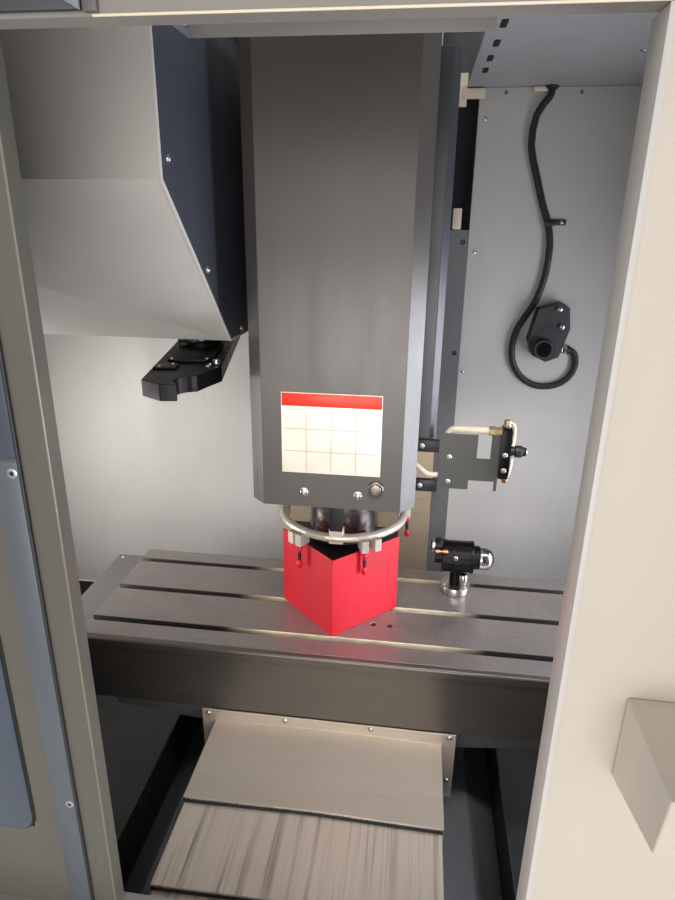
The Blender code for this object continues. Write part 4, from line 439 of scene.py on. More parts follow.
@dataclass(frozen=True)
class CastIron(Finish):
    """Painted cast iron with the coarse skin of its mould."""

    gloss: float = 0.5

    def lay(self, graph: Graph) -> bpy.types.Material:
        """Lays a lumpy skin, cloudy paint and grey dust.

        Args:
            graph: the nodes of the new material.

        Returns:
            The finished material.
        """
        place = graph.place()
        skin = graph.noise(place, 150.0, 5.0, 0.62)
        cloud = graph.noise(place, 4.0, 3.0, 0.6, 0.3)
        base = graph.blend(graph.span(cloud, 0.3, 0.7), tint(*self.colour, 0.88), tint(*self.colour, 1.10))
        base = graph.blend(graph.span(skin, 0.52, 0.74, 0.0, 0.30), base, tint(*self.colour, 0.66))
        graph.bump(skin, 0.35, 0.0012)
        return graph.finish(Base_Color=base, Roughness=graph.span(skin, 0.3, 0.7, self.gloss - 0.06,
                self.gloss + 0.12))


@dataclass(frozen=True)
class Moulded(Finish):
    """Moulded plastic or rubber with a fine eroded grain."""

    gloss: float = 0.45
    grain: float = 0.30
    relief: float = 0.0003

    def lay(self, graph: Graph) -> bpy.types.Material:
        """Lays an eroded grain, a touch of dust and uneven gloss.

        Args:
            graph: the nodes of the new material.

        Returns:
            The finished material.
        """
        place = graph.place()
        grain = graph.noise(place, 850.0, 2.0, 0.6)
        dust = graph.noise(place, 21.0, 4.0, 0.62, 0.3)
        base = graph.blend(graph.span(dust, 0.45, 0.78, 0.0, 0.30), tint(*self.colour),
                tint(*self.colour, 1.9))
        base = graph.blend(graph.span(grain, 0.3, 0.7, 0.0, 0.25), base, tint(*self.colour, 0.7))
        graph.bump(grain, self.grain, self.relief)
        return graph.finish(Base_Color=base, Roughness=graph.span(dust, 0.3, 0.7, self.gloss - 0.06,
                self.gloss + 0.12))


@dataclass(frozen=True)
class Enamel(Finish):
    """Thick glossy paint, scuffed lighter on its worn places."""

    gloss: float = 0.30
    scuff: float = 0.35

    def lay(self, graph: Graph) -> bpy.types.Material:
        """Lays a shaded coat with scuffs and small chips.

        Args:
            graph: the nodes of the new material.

        Returns:
            The finished material.
        """
        place = graph.place()
        cloud = graph.noise(place, 9.0, 3.0, 0.55, 0.3)
        base = graph.blend(graph.span(cloud, 0.3, 0.7), tint(*self.colour, 0.86), tint(*self.colour, 1.10))
        rub = graph.noise(graph.place((30.0, 30.0, 260.0), (0.4, 0.2, 0.0)), 1.0, 4.0, 0.66)
        base = graph.blend(graph.span(rub, 0.66, 0.76, 0.0, self.scuff), base, tint(*self.colour, 1.9))
        chip = graph.span(graph.cells(place, 34.0), 0.03, 0.05, 0.8, 0.0)
        base = graph.blend(chip, base, tint(*self.colour, 0.35))
        graph.bump(graph.noise(place, 420.0, 2.0, 0.5), 0.12, 0.0004)
        return graph.finish(Base_Color=base, Roughness=graph.span(cloud, 0.3, 0.7, self.gloss - 0.04,
                self.gloss + 0.14))


@dataclass(frozen=True)
class SafetyGlass(Finish):
    """A tinted laminated window pane with a film of dried mist."""

    clear: float = 1.0

    def lay(self, graph: Graph) -> bpy.types.Material:
        """Lays clear tinted glass whose gloss is broken by dried mist."""
        mist = graph.noise(graph.place((6.0, 6.0, 2.0)), 1.0, 5.0, 0.65, 0.5)
        base = graph.blend(graph.span(mist, 0.45, 0.75, 0.0, 0.5), tint(*self.colour),
                tint(*self.colour, 0.72))
        return graph.finish(Base_Color=base, Roughness=graph.span(mist, 0.3, 0.75, 0.02, 0.12),
                Transmission_Weight=self.clear, IOR=1.45)


@dataclass(frozen=True)
class LitScreen(Finish):
    """A dark display behind glass, with faint plain fields on it."""

    def lay(self, graph: Graph) -> bpy.types.Material:
        """Lays rows of faint plain bars behind a glossy face.

        Args:
            graph: the nodes of the new material.

        Returns:
            The finished material.
        """
        _, _, height = graph.parts(graph.place((1.0, 1.0, 55.0)))
        rows = graph.span(graph.sum("FRACT", height, 0.0), 0.42, 0.5)
        wide = graph.span(graph.noise(graph.place((14.0, 1.0, 55.0)), 1.0, 0.0), 0.45, 0.5)
        base = graph.blend(graph.sum("MULTIPLY", rows, wide), tint(*self.colour), tint(96, 118, 138))
        return graph.finish(Base_Color=base, Roughness=0.12)


HEAD_GREY = PowderCoat("head_grey", (84, 80, 77), 0.30, 0.05, 0.12)
SHROUD_WHITE = PowderCoat("shroud_white", (198, 195, 190), 0.40, 0.04, 0.08)
WALL_WHITE = PowderCoat("wall_white", (176, 173, 169), 0.44, 0.05, 0.16)
ROOF_WHITE = PowderCoat("roof_white", (160, 159, 160), 0.46, 0.04, 0.10)
FRAME_WHITE = PowderCoat("frame_white", (144, 138, 133), 0.42, 0.04, 0.08)
PANEL_CREAM = PowderCoat("panel_cream", (204, 195, 183), 0.42, 0.02, 0.04, 0.08)
# A paler white for strips along folded edges, painted as the highlight that the folds catch.
EDGE_HIGHLIGHT = PowderCoat("edge_highlight", (205, 201, 196), 0.36, 0.02, 0.05)
DARK_BLUE = PowderCoat("dark_blue", (70, 73, 84), 0.40, 0.08, 0.20)
STRIP_GREY = PowderCoat("strip_grey", (98, 97, 99), 0.42, 0.05, 0.15)
STILE_GREY = PowderCoat("stile_grey", (96, 94, 86), 0.34, 0.04, 0.10)
CLAMP_BLUE = PowderCoat("clamp_blue", (90, 96, 104), 0.36, 0.05, 0.12)
CLAMP_DARK = PowderCoat("clamp_dark", (66, 73, 86), 0.34, 0.05, 0.12)
SEAL_GREY = Moulded("seal_grey", (46, 47, 50), 0.50, 0.4)
# Dark paint of the chip pan, set darker still as painted shade since the pan lies in shade; the apron's kick plate
# uses it too.
PAN_PAINT_AND_SHADE = PowderCoat("pan_paint_and_shade", (40, 41, 40), 0.50, 0.12, 0.30)
BRACKET_GREY = PowderCoat("bracket_grey", (70, 70, 68), 0.44, 0.05, 0.12)
SERVO_BLACK = PowderCoat("servo_black", (38, 39, 42), 0.40, 0.06, 0.12)
CASTING_WHITE = CastIron("casting_white", (168, 166, 160))
CASTING_GREY = CastIron("casting_grey", (104, 106, 108))
COVER_STEEL = BrushedSteel("cover_steel", (210, 197, 182), Axis.X, 0.40, 0.06, 0.0, 0.55)
COVER_STREAKED = BrushedSteel("cover_streaked", (226, 212, 195), Axis.Y, 0.40, 0.08, 0.90, 0.50)
WAY_STEEL = BrushedSteel("way_steel", (190, 170, 146), Axis.X, 0.36, 0.10, 0.0, 0.45)
SKIRT_STEEL = BrushedSteel("skirt_steel", (118, 112, 106), Axis.X, 0.32, 0.10, 0.0, 0.75)
END_STEEL = BrushedSteel("end_steel", (132, 130, 130), Axis.Y, 0.40, 0.10, 0.0, 0.6)
DUCT_GREY = PowderCoat("duct_grey", (66, 67, 72), 0.34, 0.05, 0.10)
TABLE_IRON = GroundIron("table_iron", (158, 150, 147))
# Slot wall: dark as painted shade, bright along the middle as a painted lamp reflection.
SLOT_SHADE_AND_GLINT = SlotShadeAndGlint("slot_wall", (44, 42, 42))
RING_STEEL = BrushedSteel("ring_steel", (214, 204, 190), Axis.Z, 0.36, 0.05, 0.0, 0.45)
TRIM_DARK = PowderCoat("trim_dark", (54, 54, 60), 0.40, 0.06, 0.12)
VALANCE_GREY = PowderCoat("valance_grey", (150, 147, 144), 0.42, 0.04, 0.08)
TAB_GREY = PowderCoat("tab_grey", (128, 129, 142), 0.40, 0.04, 0.08)
# A bright cream painted as the highlight on the lintel's rounded lip.
LIP_HIGHLIGHT = PowderCoat("lip_highlight", (240, 226, 204), 0.30, 0.01, 0.02)
# A lighter stile colour, painted as the highlight on the door's folded meeting edge.
STILE_HIGHLIGHT = PowderCoat("stile_highlight", (126, 121, 108), 0.30, 0.03, 0.06)
SATIN_STEEL = TurnedMetal("satin_steel", (188, 184, 180), 0.28)
BRIGHT_STEEL = TurnedMetal("bright_steel", (206, 206, 208), 0.16, Axis.Z, 0.06)
SPINDLE_STEEL = TurnedMetal("spindle_steel", (150, 146, 146), 0.20)
SCREW_STEEL = TurnedMetal("screw_steel", (196, 196, 198), 0.26, Axis.Y, 0.06)
BALL_SCREW = TurnedMetal("ball_screw", (158, 156, 154), 0.24, Axis.X)
RING_DARK = TurnedMetal("ring_dark", (122, 118, 112), 0.34, Axis.Y)
CAP_STEEL = TurnedMetal("cap_steel", (150, 138, 122), 0.36, Axis.Y)
BRASS = TurnedMetal("brass", (184, 150, 92), 0.28, Axis.X)
COPPER = TurnedMetal("copper", (196, 140, 104), 0.30, Axis.X)
BLACKED_STEEL = TurnedMetal("blacked_steel", (44, 43, 44), 0.38, Axis.X)
BLACK_PLASTIC = Moulded("black_plastic", (30, 30, 32), 0.42)
BLACK_RUBBER = Moulded("black_rubber", (24, 25, 27), 0.55, 0.4)
HOSE_CREAM = Moulded("hose_cream", (206, 196, 176), 0.40)
CLIP_CREAM = Moulded("clip_cream", (214, 200, 176), 0.50)
KEY_GREY = Moulded("key_grey", (176, 176, 174), 0.50)
KEY_DARK = Moulded("key_dark", (70, 74, 80), 0.50)
STOP_RED = Moulded("stop_red", (190, 24, 26), 0.32)
NOZZLE_RED = Moulded("nozzle_red", (196, 16, 38), 0.34)
COLLAR_YELLOW = Moulded("collar_yellow", (214, 178, 40), 0.40)
LENS_DARK = Moulded("lens_dark", (14, 15, 18), 0.12, 0.05)
# Black that paints the shade inside holes, slot mouths and screw sockets, and colours real seams and dial ticks.
SHADE_AND_MARK_BLACK = Moulded("shade_and_mark_black", (16, 16, 18), 0.80)
BRACKET_RED = Enamel("bracket_red", (198, 14, 38))
PLACARD_CREAM = Enamel("placard_cream", (236, 226, 212), 0.34, 0.10)
PLACARD_RED = Enamel("placard_red", (214, 52, 34), 0.34, 0.10)
PLACARD_LINE = Enamel("placard_line", (184, 170, 154), 0.40, 0.10)
WINDOW = SafetyGlass("window_glass", (176, 176, 164))
TINTED = SafetyGlass("tinted_glass", (92, 103, 120), 0.35)
SCREEN = LitScreen("screen_glass", (20, 26, 34))


@dataclass(frozen=True)
class Datum:
    """The point that fitters measure from: spindle line, table middle and table top."""

    x: float
    y: float
    z: float

    @classmethod
    def from_frame(cls) -> "Datum":
        """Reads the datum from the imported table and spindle."""
        low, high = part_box("table")
        left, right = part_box("spindle")
        return cls((left.x + right.x) / 2, (low.y + high.y) / 2, high.z)

    def at(self, x: float, y: float, z: float) -> Vector:
        """Gives the model's point for a place in millimetres from the datum."""
        return Vector((self.x + x / 1000, self.y + y / 1000, self.z + z / 1000))


DATUM = Datum.from_frame()


class Workpiece:
    """A mesh that grows from bars, turned shapes, plates and tubes, and then rides on a body."""

    SHARP = math.radians(34.0)

    def __init__(self, name: str) -> None:
        """Starts an empty piece.

        Args:
            name: the piece's name in the scene.
        """
        self.name = name
        self.shape = bmesh.new()
        self.finishes: list[Finish] = []

    def _keep(self, part: bmesh.types.BMesh, finish: Finish) -> None:
        """Mends a part's normals, gives it a finish and adds it to the piece.

        Args:
            part: the mesh to add; it is freed.
            finish: its surface finish.
        """
        bmesh.ops.remove_doubles(part, verts=part.verts, dist=1e-6)
        bmesh.ops.recalc_face_normals(part, faces=part.faces)
        if finish not in self.finishes:
            self.finishes.append(finish)
        for face in part.faces:
            face.material_index = self.finishes.index(finish)
            face.smooth = True
        joining = bpy.data.meshes.new("joining")
        part.to_mesh(joining)
        part.free()
        self.shape.from_mesh(joining)
        bpy.data.meshes.remove(joining)

    def bar(self, low: Vector, high: Vector, finish: Finish, edge: float = 0.0006,
            segments: int = 2) -> None:
        """Adds a bar with rounded edges between two opposite corners.

        Args:
            low: one corner.
            high: the opposite corner.
            finish: its surface finish.
            edge: radius of its edges, in metres.
            segments: steps in each rounded edge.
        """
        part = bmesh.new()
        bmesh.ops.create_cube(part, size=1.0)
        size = Vector([abs(high[i] - low[i]) for i in range(3)])
        bmesh.ops.scale(part, vec=size, verts=part.verts)
        bmesh.ops.bevel(part, geom=part.edges[:], offset=min(edge, 0.45 * min(size)), offset_type="OFFSET",
                segments=segments, profile=0.5, affect="EDGES", material=-1)
        bmesh.ops.translate(part, vec=(low + high) / 2, verts=part.verts)
        self._keep(part, finish)

    def turned(self, profile: Sequence[Flat], base: Vector, axis: Vector, finish: Finish,
            steps: int = 32) -> None:
        """Adds a shape turned on a lathe.

        Args:
            profile: (radius, height) pairs in millimetres, from the foot to the tip.
            base: the foot of the lathe axis.
            axis: direction of the lathe axis.
            finish: its surface finish.
            steps: sides of the turned shape.
        """
        part = bmesh.new()
        line = [part.verts.new((radius / 1000, 0.0, height / 1000)) for radius, height in profile]
        edges = [part.edges.new(pair) for pair in zip(line, line[1:])]
        bmesh.ops.spin(part, geom=line + edges, cent=(0, 0, 0), axis=(0, 0, 1), angle=math.tau, steps=steps,
                use_merge=True)
        turn = Vector((0, 0, 1)).rotation_difference(axis).to_matrix()
        bmesh.ops.rotate(part, cent=(0, 0, 0), matrix=turn, verts=part.verts)
        bmesh.ops.translate(part, vec=base, verts=part.verts)
        self._keep(part, finish)

    def plate(self, outline: Sequence[Flat], axis: Axis, low: float, high: float, finish: Finish,
            edge: float = 0.0005, corner: float = 0.0) -> None:
        """Adds a cut plate.

        Args:
            outline: corners in metres, in the plane across the axis, in the model's frame.
            axis: the direction of the plate's thickness.
            low: where the plate starts along the axis.
            high: where it ends.
            finish: its surface finish.
            edge: radius of its rim.
            corner: radius of the outline's corners.
        """
        along, first, second = axis.value
        part = bmesh.new()
        corners = []
        for one, two in outline:
            spot = [0.0, 0.0, 0.0]
            spot[along], spot[first], spot[second] = low, one, two
            corners.append(part.verts.new(spot))
        part.faces.new(corners)
        drawn = bmesh.ops.extrude_face_region(part, geom=part.faces[:])
        raised = [item for item in drawn["geom"] if isinstance(item, bmesh.types.BMVert)]
        bmesh.ops.translate(part, vec=axis.unit * (high - low), verts=raised)
        if corner:
            upright = [e for e in part.edges if abs((e.verts[0].co - e.verts[1].co)[along]) > 1e-6]
            bmesh.ops.bevel(part, geom=upright, offset=corner, offset_type="OFFSET", segments=5,
                    profile=0.5, affect="EDGES", material=-1)
        if edge:
            rim = [e for e in part.edges if abs((e.verts[0].co - e.verts[1].co)[along]) < 1e-6]
            bmesh.ops.bevel(part, geom=rim, offset=edge, offset_type="OFFSET", segments=2, profile=0.5,
                    affect="EDGES", material=-1)
        self._keep(part, finish)

    def tube(self, path: Sequence[Vector], radius: float, finish: Finish, sides: int = 3) -> None:
        """Adds a round tube along a smooth path.

        Args:
            path: the points that the tube is drawn towards; it starts and ends on the outer ones.
            radius: half its thickness, in metres.
            finish: its surface finish.
            sides: roundness of its section.
        """
        curve = bpy.data.curves.new("bending", "CURVE")
        curve.dimensions = "3D"
        curve.bevel_depth, curve.bevel_resolution, curve.resolution_u, curve.use_fill_caps = radius, sides, 6, True
        spline = curve.splines.new("NURBS")
        spline.points.add(len(path) - 1)
        for knot, spot in zip(spline.points, path):
            knot.co = (*spot, 1.0)
        spline.order_u, spline.use_endpoint_u = min(4, len(path)), True
        holder = bpy.data.objects.new("bending", curve)
        bpy.context.scene.collection.objects.link(holder)
        bent = bpy.data.meshes.new_from_object(holder.evaluated_get(bpy.context.evaluated_depsgraph_get()))
        part = bmesh.new()
        part.from_mesh(bent)
        bpy.data.objects.remove(holder)
        bpy.data.curves.remove(curve)
        bpy.data.meshes.remove(bent)
        self._keep(part, finish)

    def screw(self, base: Vector, axis: Vector, radius: float, finish: Finish, steps: int = 16) -> None:
        """Adds a button-head screw with its washer and socket.

        Args:
            base: the middle of the face that it sits on.
            axis: direction out of that face.
            radius: its head's radius, in millimetres.
            finish: its surface finish.
            steps: sides of the head.
        """
        head = [(0.0, 0.22), (0.40, 0.22), (0.44, 0.58), (0.70, 0.52), (0.92, 0.30), (0.98, 0.14),
                (1.12, 0.12), (1.15, 0.06), (1.15, -0.04), (0.0, -0.04)]
        self.turned([(r * radius, h * radius) for r, h in head], base, axis, finish, steps)

    def place(self, body: str, slot: str = "") -> bpy.types.Object:
        """Makes the piece an object that rides on a body.

        Args:
            body: the body that it moves with.
            slot: not used.

        Returns:
            The new object.
        """
        for edge in self.shape.edges:
            edge.smooth = edge.calc_face_angle(0.0) < self.SHARP
        mesh = bpy.data.meshes.new(self.name)
        self.shape.to_mesh(mesh)
        self.shape.free()
        for finish in self.finishes:
            mesh.materials.append(finish.material())
        piece = bpy.data.objects.new(self.name, mesh)
        bpy.context.scene.collection.objects.link(piece)
        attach(piece, body)
        LOG.info("%s: %d faces, rides on %s", self.name, len(mesh.polygons), body)
        return piece


@dataclass
class Coating:
    """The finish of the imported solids, and the fold radius that catches the light on their edges."""

    table: dict[str, tuple[Finish, float]] = field(default_factory=lambda: {
        "machine_base": (CASTING_GREY, 3.0), "column": (CASTING_WHITE, 3.0),
        "z_servo_motor": (SERVO_BLACK, 2.0), "chip_pan": (PAN_PAINT_AND_SHADE, 0.0),
        "left_wall": (WALL_WHITE, 2.0), "right_wall": (WALL_WHITE, 2.0),
        "rear_wall_left": (WALL_WHITE, 1.0), "rear_wall_right": (WALL_WHITE, 1.0),
        "roof_panel": (ROOF_WHITE, 1.0), "front_frame": (FRAME_WHITE, 2.0),
        "front_panel_right": (PANEL_CREAM, 3.0), "column_strip": (STRIP_GREY, 0.8),
        "changer_shroud": (SHROUD_WHITE, 1.6), "changer_side_plate": (DARK_BLUE, 0.6),
        "changer_gearbox": (CASTING_GREY, 1.5),
        "electrical_cabinet": (WALL_WHITE, 2.0), "cabinet_door": (WALL_WHITE, 2.0),
        "receiver": (BLACK_PLASTIC, 2.0), "receiver_cable": (BLACK_RUBBER, 0.0),
        "y_cover_fixed": (COVER_STREAKED, 0.5), "y_cover_middle": (COVER_STREAKED, 0.8),
        "y_cover_upper": (COVER_STEEL, 0.8),
        "z_cover_fixed": (WAY_STEEL, 0.0), "z_cover_upper": (WAY_STEEL, 0.4),
        "z_cover_middle": (WAY_STEEL, 0.4), "z_cover_lower": (WAY_STEEL, 0.4),
        "side_shelf": (PANEL_CREAM, 3.0), "saddle": (CASTING_GREY, 1.5), "table": (TABLE_IRON, 0.8),
        "table_skirt": (SKIRT_STEEL, 1.2),
        "table_end_left": (END_STEEL, 1.0), "table_end_right": (END_STEEL, 1.0),
        "tool_setter": (BLACKED_STEEL, 0.8), "head_casting": (CASTING_WHITE, 1.0),
        "spindle_motor": (SERVO_BLACK, 2.0), "head_cover": (HEAD_GREY, 1.4), "side_duct": (DUCT_GREY, 1.2),
        "coolant_ring": (RING_STEEL, 0.0),
        "head_support": (BRACKET_RED, 0.6), "side_bracket": (BRACKET_GREY, 0.5),
        "air_fitting": (BLACKED_STEEL, 0.4), "spindle": (SPINDLE_STEEL, 0.6),
        "release_button": (BRIGHT_STEEL, 0.5), "nozzle_left": (NOZZLE_RED, 0.0),
        "nozzle_front": (NOZZLE_RED, 0.0), "nozzle_right": (NOZZLE_RED, 0.0),
        "x_screw": (BALL_SCREW, 0.0), "y_screw": (BALL_SCREW, 0.0), "z_screw": (BALL_SCREW, 0.0),
        "changer_shaft": (SATIN_STEEL, 0.0),
        "changer_arm": (BLACKED_STEEL, 1.2), "carousel": (BLACK_PLASTIC, 1.0),
        "left_door": (STILE_GREY, 1.2), "right_door": (STILE_GREY, 1.2),
        "left_window": (WINDOW, 0.0), "right_window": (WINDOW, 0.0), "pendant_arm": (FRAME_WHITE, 2.0),
        "pendant": (PANEL_CREAM, 3.0),
        "stop_button": (STOP_RED, 1.2), "jog_wheel": (BLACK_PLASTIC, 1.2),
    })

    def apply(self) -> None:
        """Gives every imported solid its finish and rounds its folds."""
        for name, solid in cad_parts.items():
            finish, fold = self.table[name]
            solid.data.materials.clear()
            solid.data.materials.append(finish.material())
            if fold:
                self.round_folds(solid, fold / 1000)
            LOG.info("%s: %s", name, finish.name)

    @staticmethod
    def round_folds(solid: bpy.types.Object, radius: float) -> None:
        """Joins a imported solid's triangles and rounds its sharp edges, by modifiers alone.

        Args:
            solid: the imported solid.
            radius: radius of the folds, in metres.
        """
        weld = solid.modifiers.new("joined", "WELD")
        weld.merge_threshold = 0.00005
        fold = solid.modifiers.new("folds", "BEVEL")
        fold.width, fold.segments, fold.limit_method = radius, 2, "ANGLE"
        fold.angle_limit, fold.profile, fold.use_clamp_overlap = math.radians(40.0), 0.5, True
        fold.harden_normals = True


@dataclass
class Studio:
    """A plain pale floor, soft lamps and the operator's eye."""

    eye: Point = (142.0, -1185.0, 789.0)
    yaw: float = -7.23
    pitch: float = 19.57
    roll: float = -0.78
    focus: float = 623.8
    picture: tuple[int, int] = (675, 900)
    lamps: tuple[tuple[str, Point, Point, Flat, float, float, Point], ...] = (
        ("hall_front", (0.5, -4.4, 2.00), (0.05, 0.2, 1.20), (2.8, 1.7), 32.0, 180.0, (1.0, 0.97, 0.93)),
        ("hall_low", (0.10, -2.6, 1.00), (0.0, 0.2, 1.20), (1.6, 0.6), 20.0, 180.0, (1.0, 0.97, 0.94)),
        ("hall_right", (4.4, -1.2, 2.6), (0.0, 0.1, 1.2), (2.6, 2.2), 70.0, 180.0, (0.94, 0.97, 1.0)),
        ("hall_left", (-4.4, -0.6, 2.6), (0.0, 0.1, 1.2), (2.6, 2.2), 60.0, 180.0, (1.0, 0.98, 0.95)),
        ("hall_back", (0.0, 4.6, 2.8), (0.0, 0.4, 1.2), (3.0, 2.2), 75.0, 180.0, (1.0, 0.98, 0.96)),
        ("table_light", (0.30, -0.60, 1.74), (0.24, -0.06, 0.85), (0.90, 0.08), 1.5, 70.0,
                (1.0, 0.97, 0.93)),
        ("side_window", (0.90, -0.30, 1.14), (0.0, -0.30, 1.14), (0.46, 0.69), 8.5, 150.0,
                (0.86, 0.90, 1.0)),
        ("left_glow", (-0.88, -0.30, 1.06), (-0.25, 0.28, 0.98), (0.24, 0.4), 4.6, 150.0, (1.0, 0.97, 0.94)),
    )

    def raise_camera(self) -> None:
        """Puts the camera where the operator stands and looks."""
        yaw, pitch, roll = (math.radians(a) for a in (self.yaw, self.pitch, self.roll))
        ahead = Vector((math.sin(yaw) * math.cos(pitch), math.cos(yaw) * math.cos(pitch), -math.sin(pitch)))
        right = Vector((math.cos(yaw), -math.sin(yaw), 0.0))
        down = ahead.cross(right)
        across = math.cos(roll) * right + math.sin(roll) * down
        below = -math.sin(roll) * right + math.cos(roll) * down
        data = bpy.data.cameras.new("operator_eye")
        data.sensor_width, data.sensor_fit = 36.0, "AUTO"
        data.lens = 36.0 * self.focus / max(self.picture)
        data.clip_start, data.clip_end = 0.05, 100.0
        camera = bpy.data.objects.new("operator_eye", data)
        turn = Matrix((across, -below, -ahead)).transposed().to_4x4()
        camera.matrix_world = Matrix.Translation(DATUM.at(*self.eye)) @ turn
        bpy.context.scene.collection.objects.link(camera)
        bpy.context.scene.camera = camera

    def hang_lamps(self) -> None:
        """Hangs the soft lamps, each aimed at its target."""
        for name, spot, target, (wide, tall), power, spread, colour in self.lamps:
            data = bpy.data.lights.new(name, "AREA")
            data.shape, data.size, data.size_y, data.energy, data.color = "RECTANGLE", wide, tall, power, colour
            data.spread = math.radians(spread)
            lamp = bpy.data.objects.new(name, data)
            lamp.location = spot
            lamp.rotation_euler = (Vector(target) - Vector(spot)).to_track_quat("-Z", "Y").to_euler()
            lamp.visible_camera = False
            bpy.context.scene.collection.objects.link(lamp)

    def lay_floor(self) -> None:
        """Lays the pale floor, which shows plain and still takes the machine's shadow."""
        shape = bmesh.new()
        bmesh.ops.create_grid(shape, x_segments=2, y_segments=2, size=9.0)
        mesh = bpy.data.meshes.new("floor")
        shape.to_mesh(mesh)
        shape.free()
        floor = bpy.data.objects.new("floor", mesh)
        graph = Graph("floor_pale")
        cloud = graph.noise(graph.place(), 1.4, 3.0)
        pale = graph.blend(cloud, tint(206, 205, 203), tint(214, 213, 211))
        mesh.materials.append(graph.finish(Base_Color=pale, Roughness=0.7))
        bpy.context.scene.collection.objects.link(floor)

    def fill_world(self) -> None:
        """Fills the room with soft light, and shows it pale behind the machine."""
        world = bpy.data.worlds.new("hall")
        bpy.context.scene.world = world
        world.use_nodes = True
        nodes, links = world.node_tree.nodes, world.node_tree.links
        nodes.clear()
        kinds = ("ShaderNodeOutputWorld", "ShaderNodeMixShader", "ShaderNodeLightPath")
        output, mixer, path = (nodes.new(kind) for kind in kinds)
        soft, shown = nodes.new("ShaderNodeBackground"), nodes.new("ShaderNodeBackground")
        soft.inputs["Color"].default_value = (1.0, 0.985, 0.965, 1.0)
        soft.inputs["Strength"].default_value = 0.45
        shown.inputs["Color"].default_value = tint(232, 231, 229)
        shown.inputs["Strength"].default_value = 1.0
        seen = nodes.new("ShaderNodeMath")
        seen.operation = "MAXIMUM"
        glossy = nodes.new("ShaderNodeMath")
        glossy.operation = "MAXIMUM"
        links.new(path.outputs["Is Glossy Ray"], glossy.inputs[0])
        links.new(path.outputs["Is Transmission Ray"], glossy.inputs[1])
        links.new(path.outputs["Is Camera Ray"], seen.inputs[0])
        links.new(glossy.outputs[0], seen.inputs[1])
        links.new(seen.outputs[0], mixer.inputs[0])
        links.new(soft.outputs[0], mixer.inputs[1])
        links.new(shown.outputs[0], mixer.inputs[2])
        links.new(mixer.outputs[0], output.inputs["Surface"])

    def build(self) -> None:
        """Sets up the whole studio."""
        self.raise_camera()
        self.hang_lamps()
        self.lay_floor()
        self.fill_world()
        bpy.context.scene.view_settings.view_transform = "Standard"


OUT = Vector((0.0, -1.0, 0.0))
UP = Vector((0.0, 0.0, 1.0))
RIGHT = Vector((1.0, 0.0, 0.0))


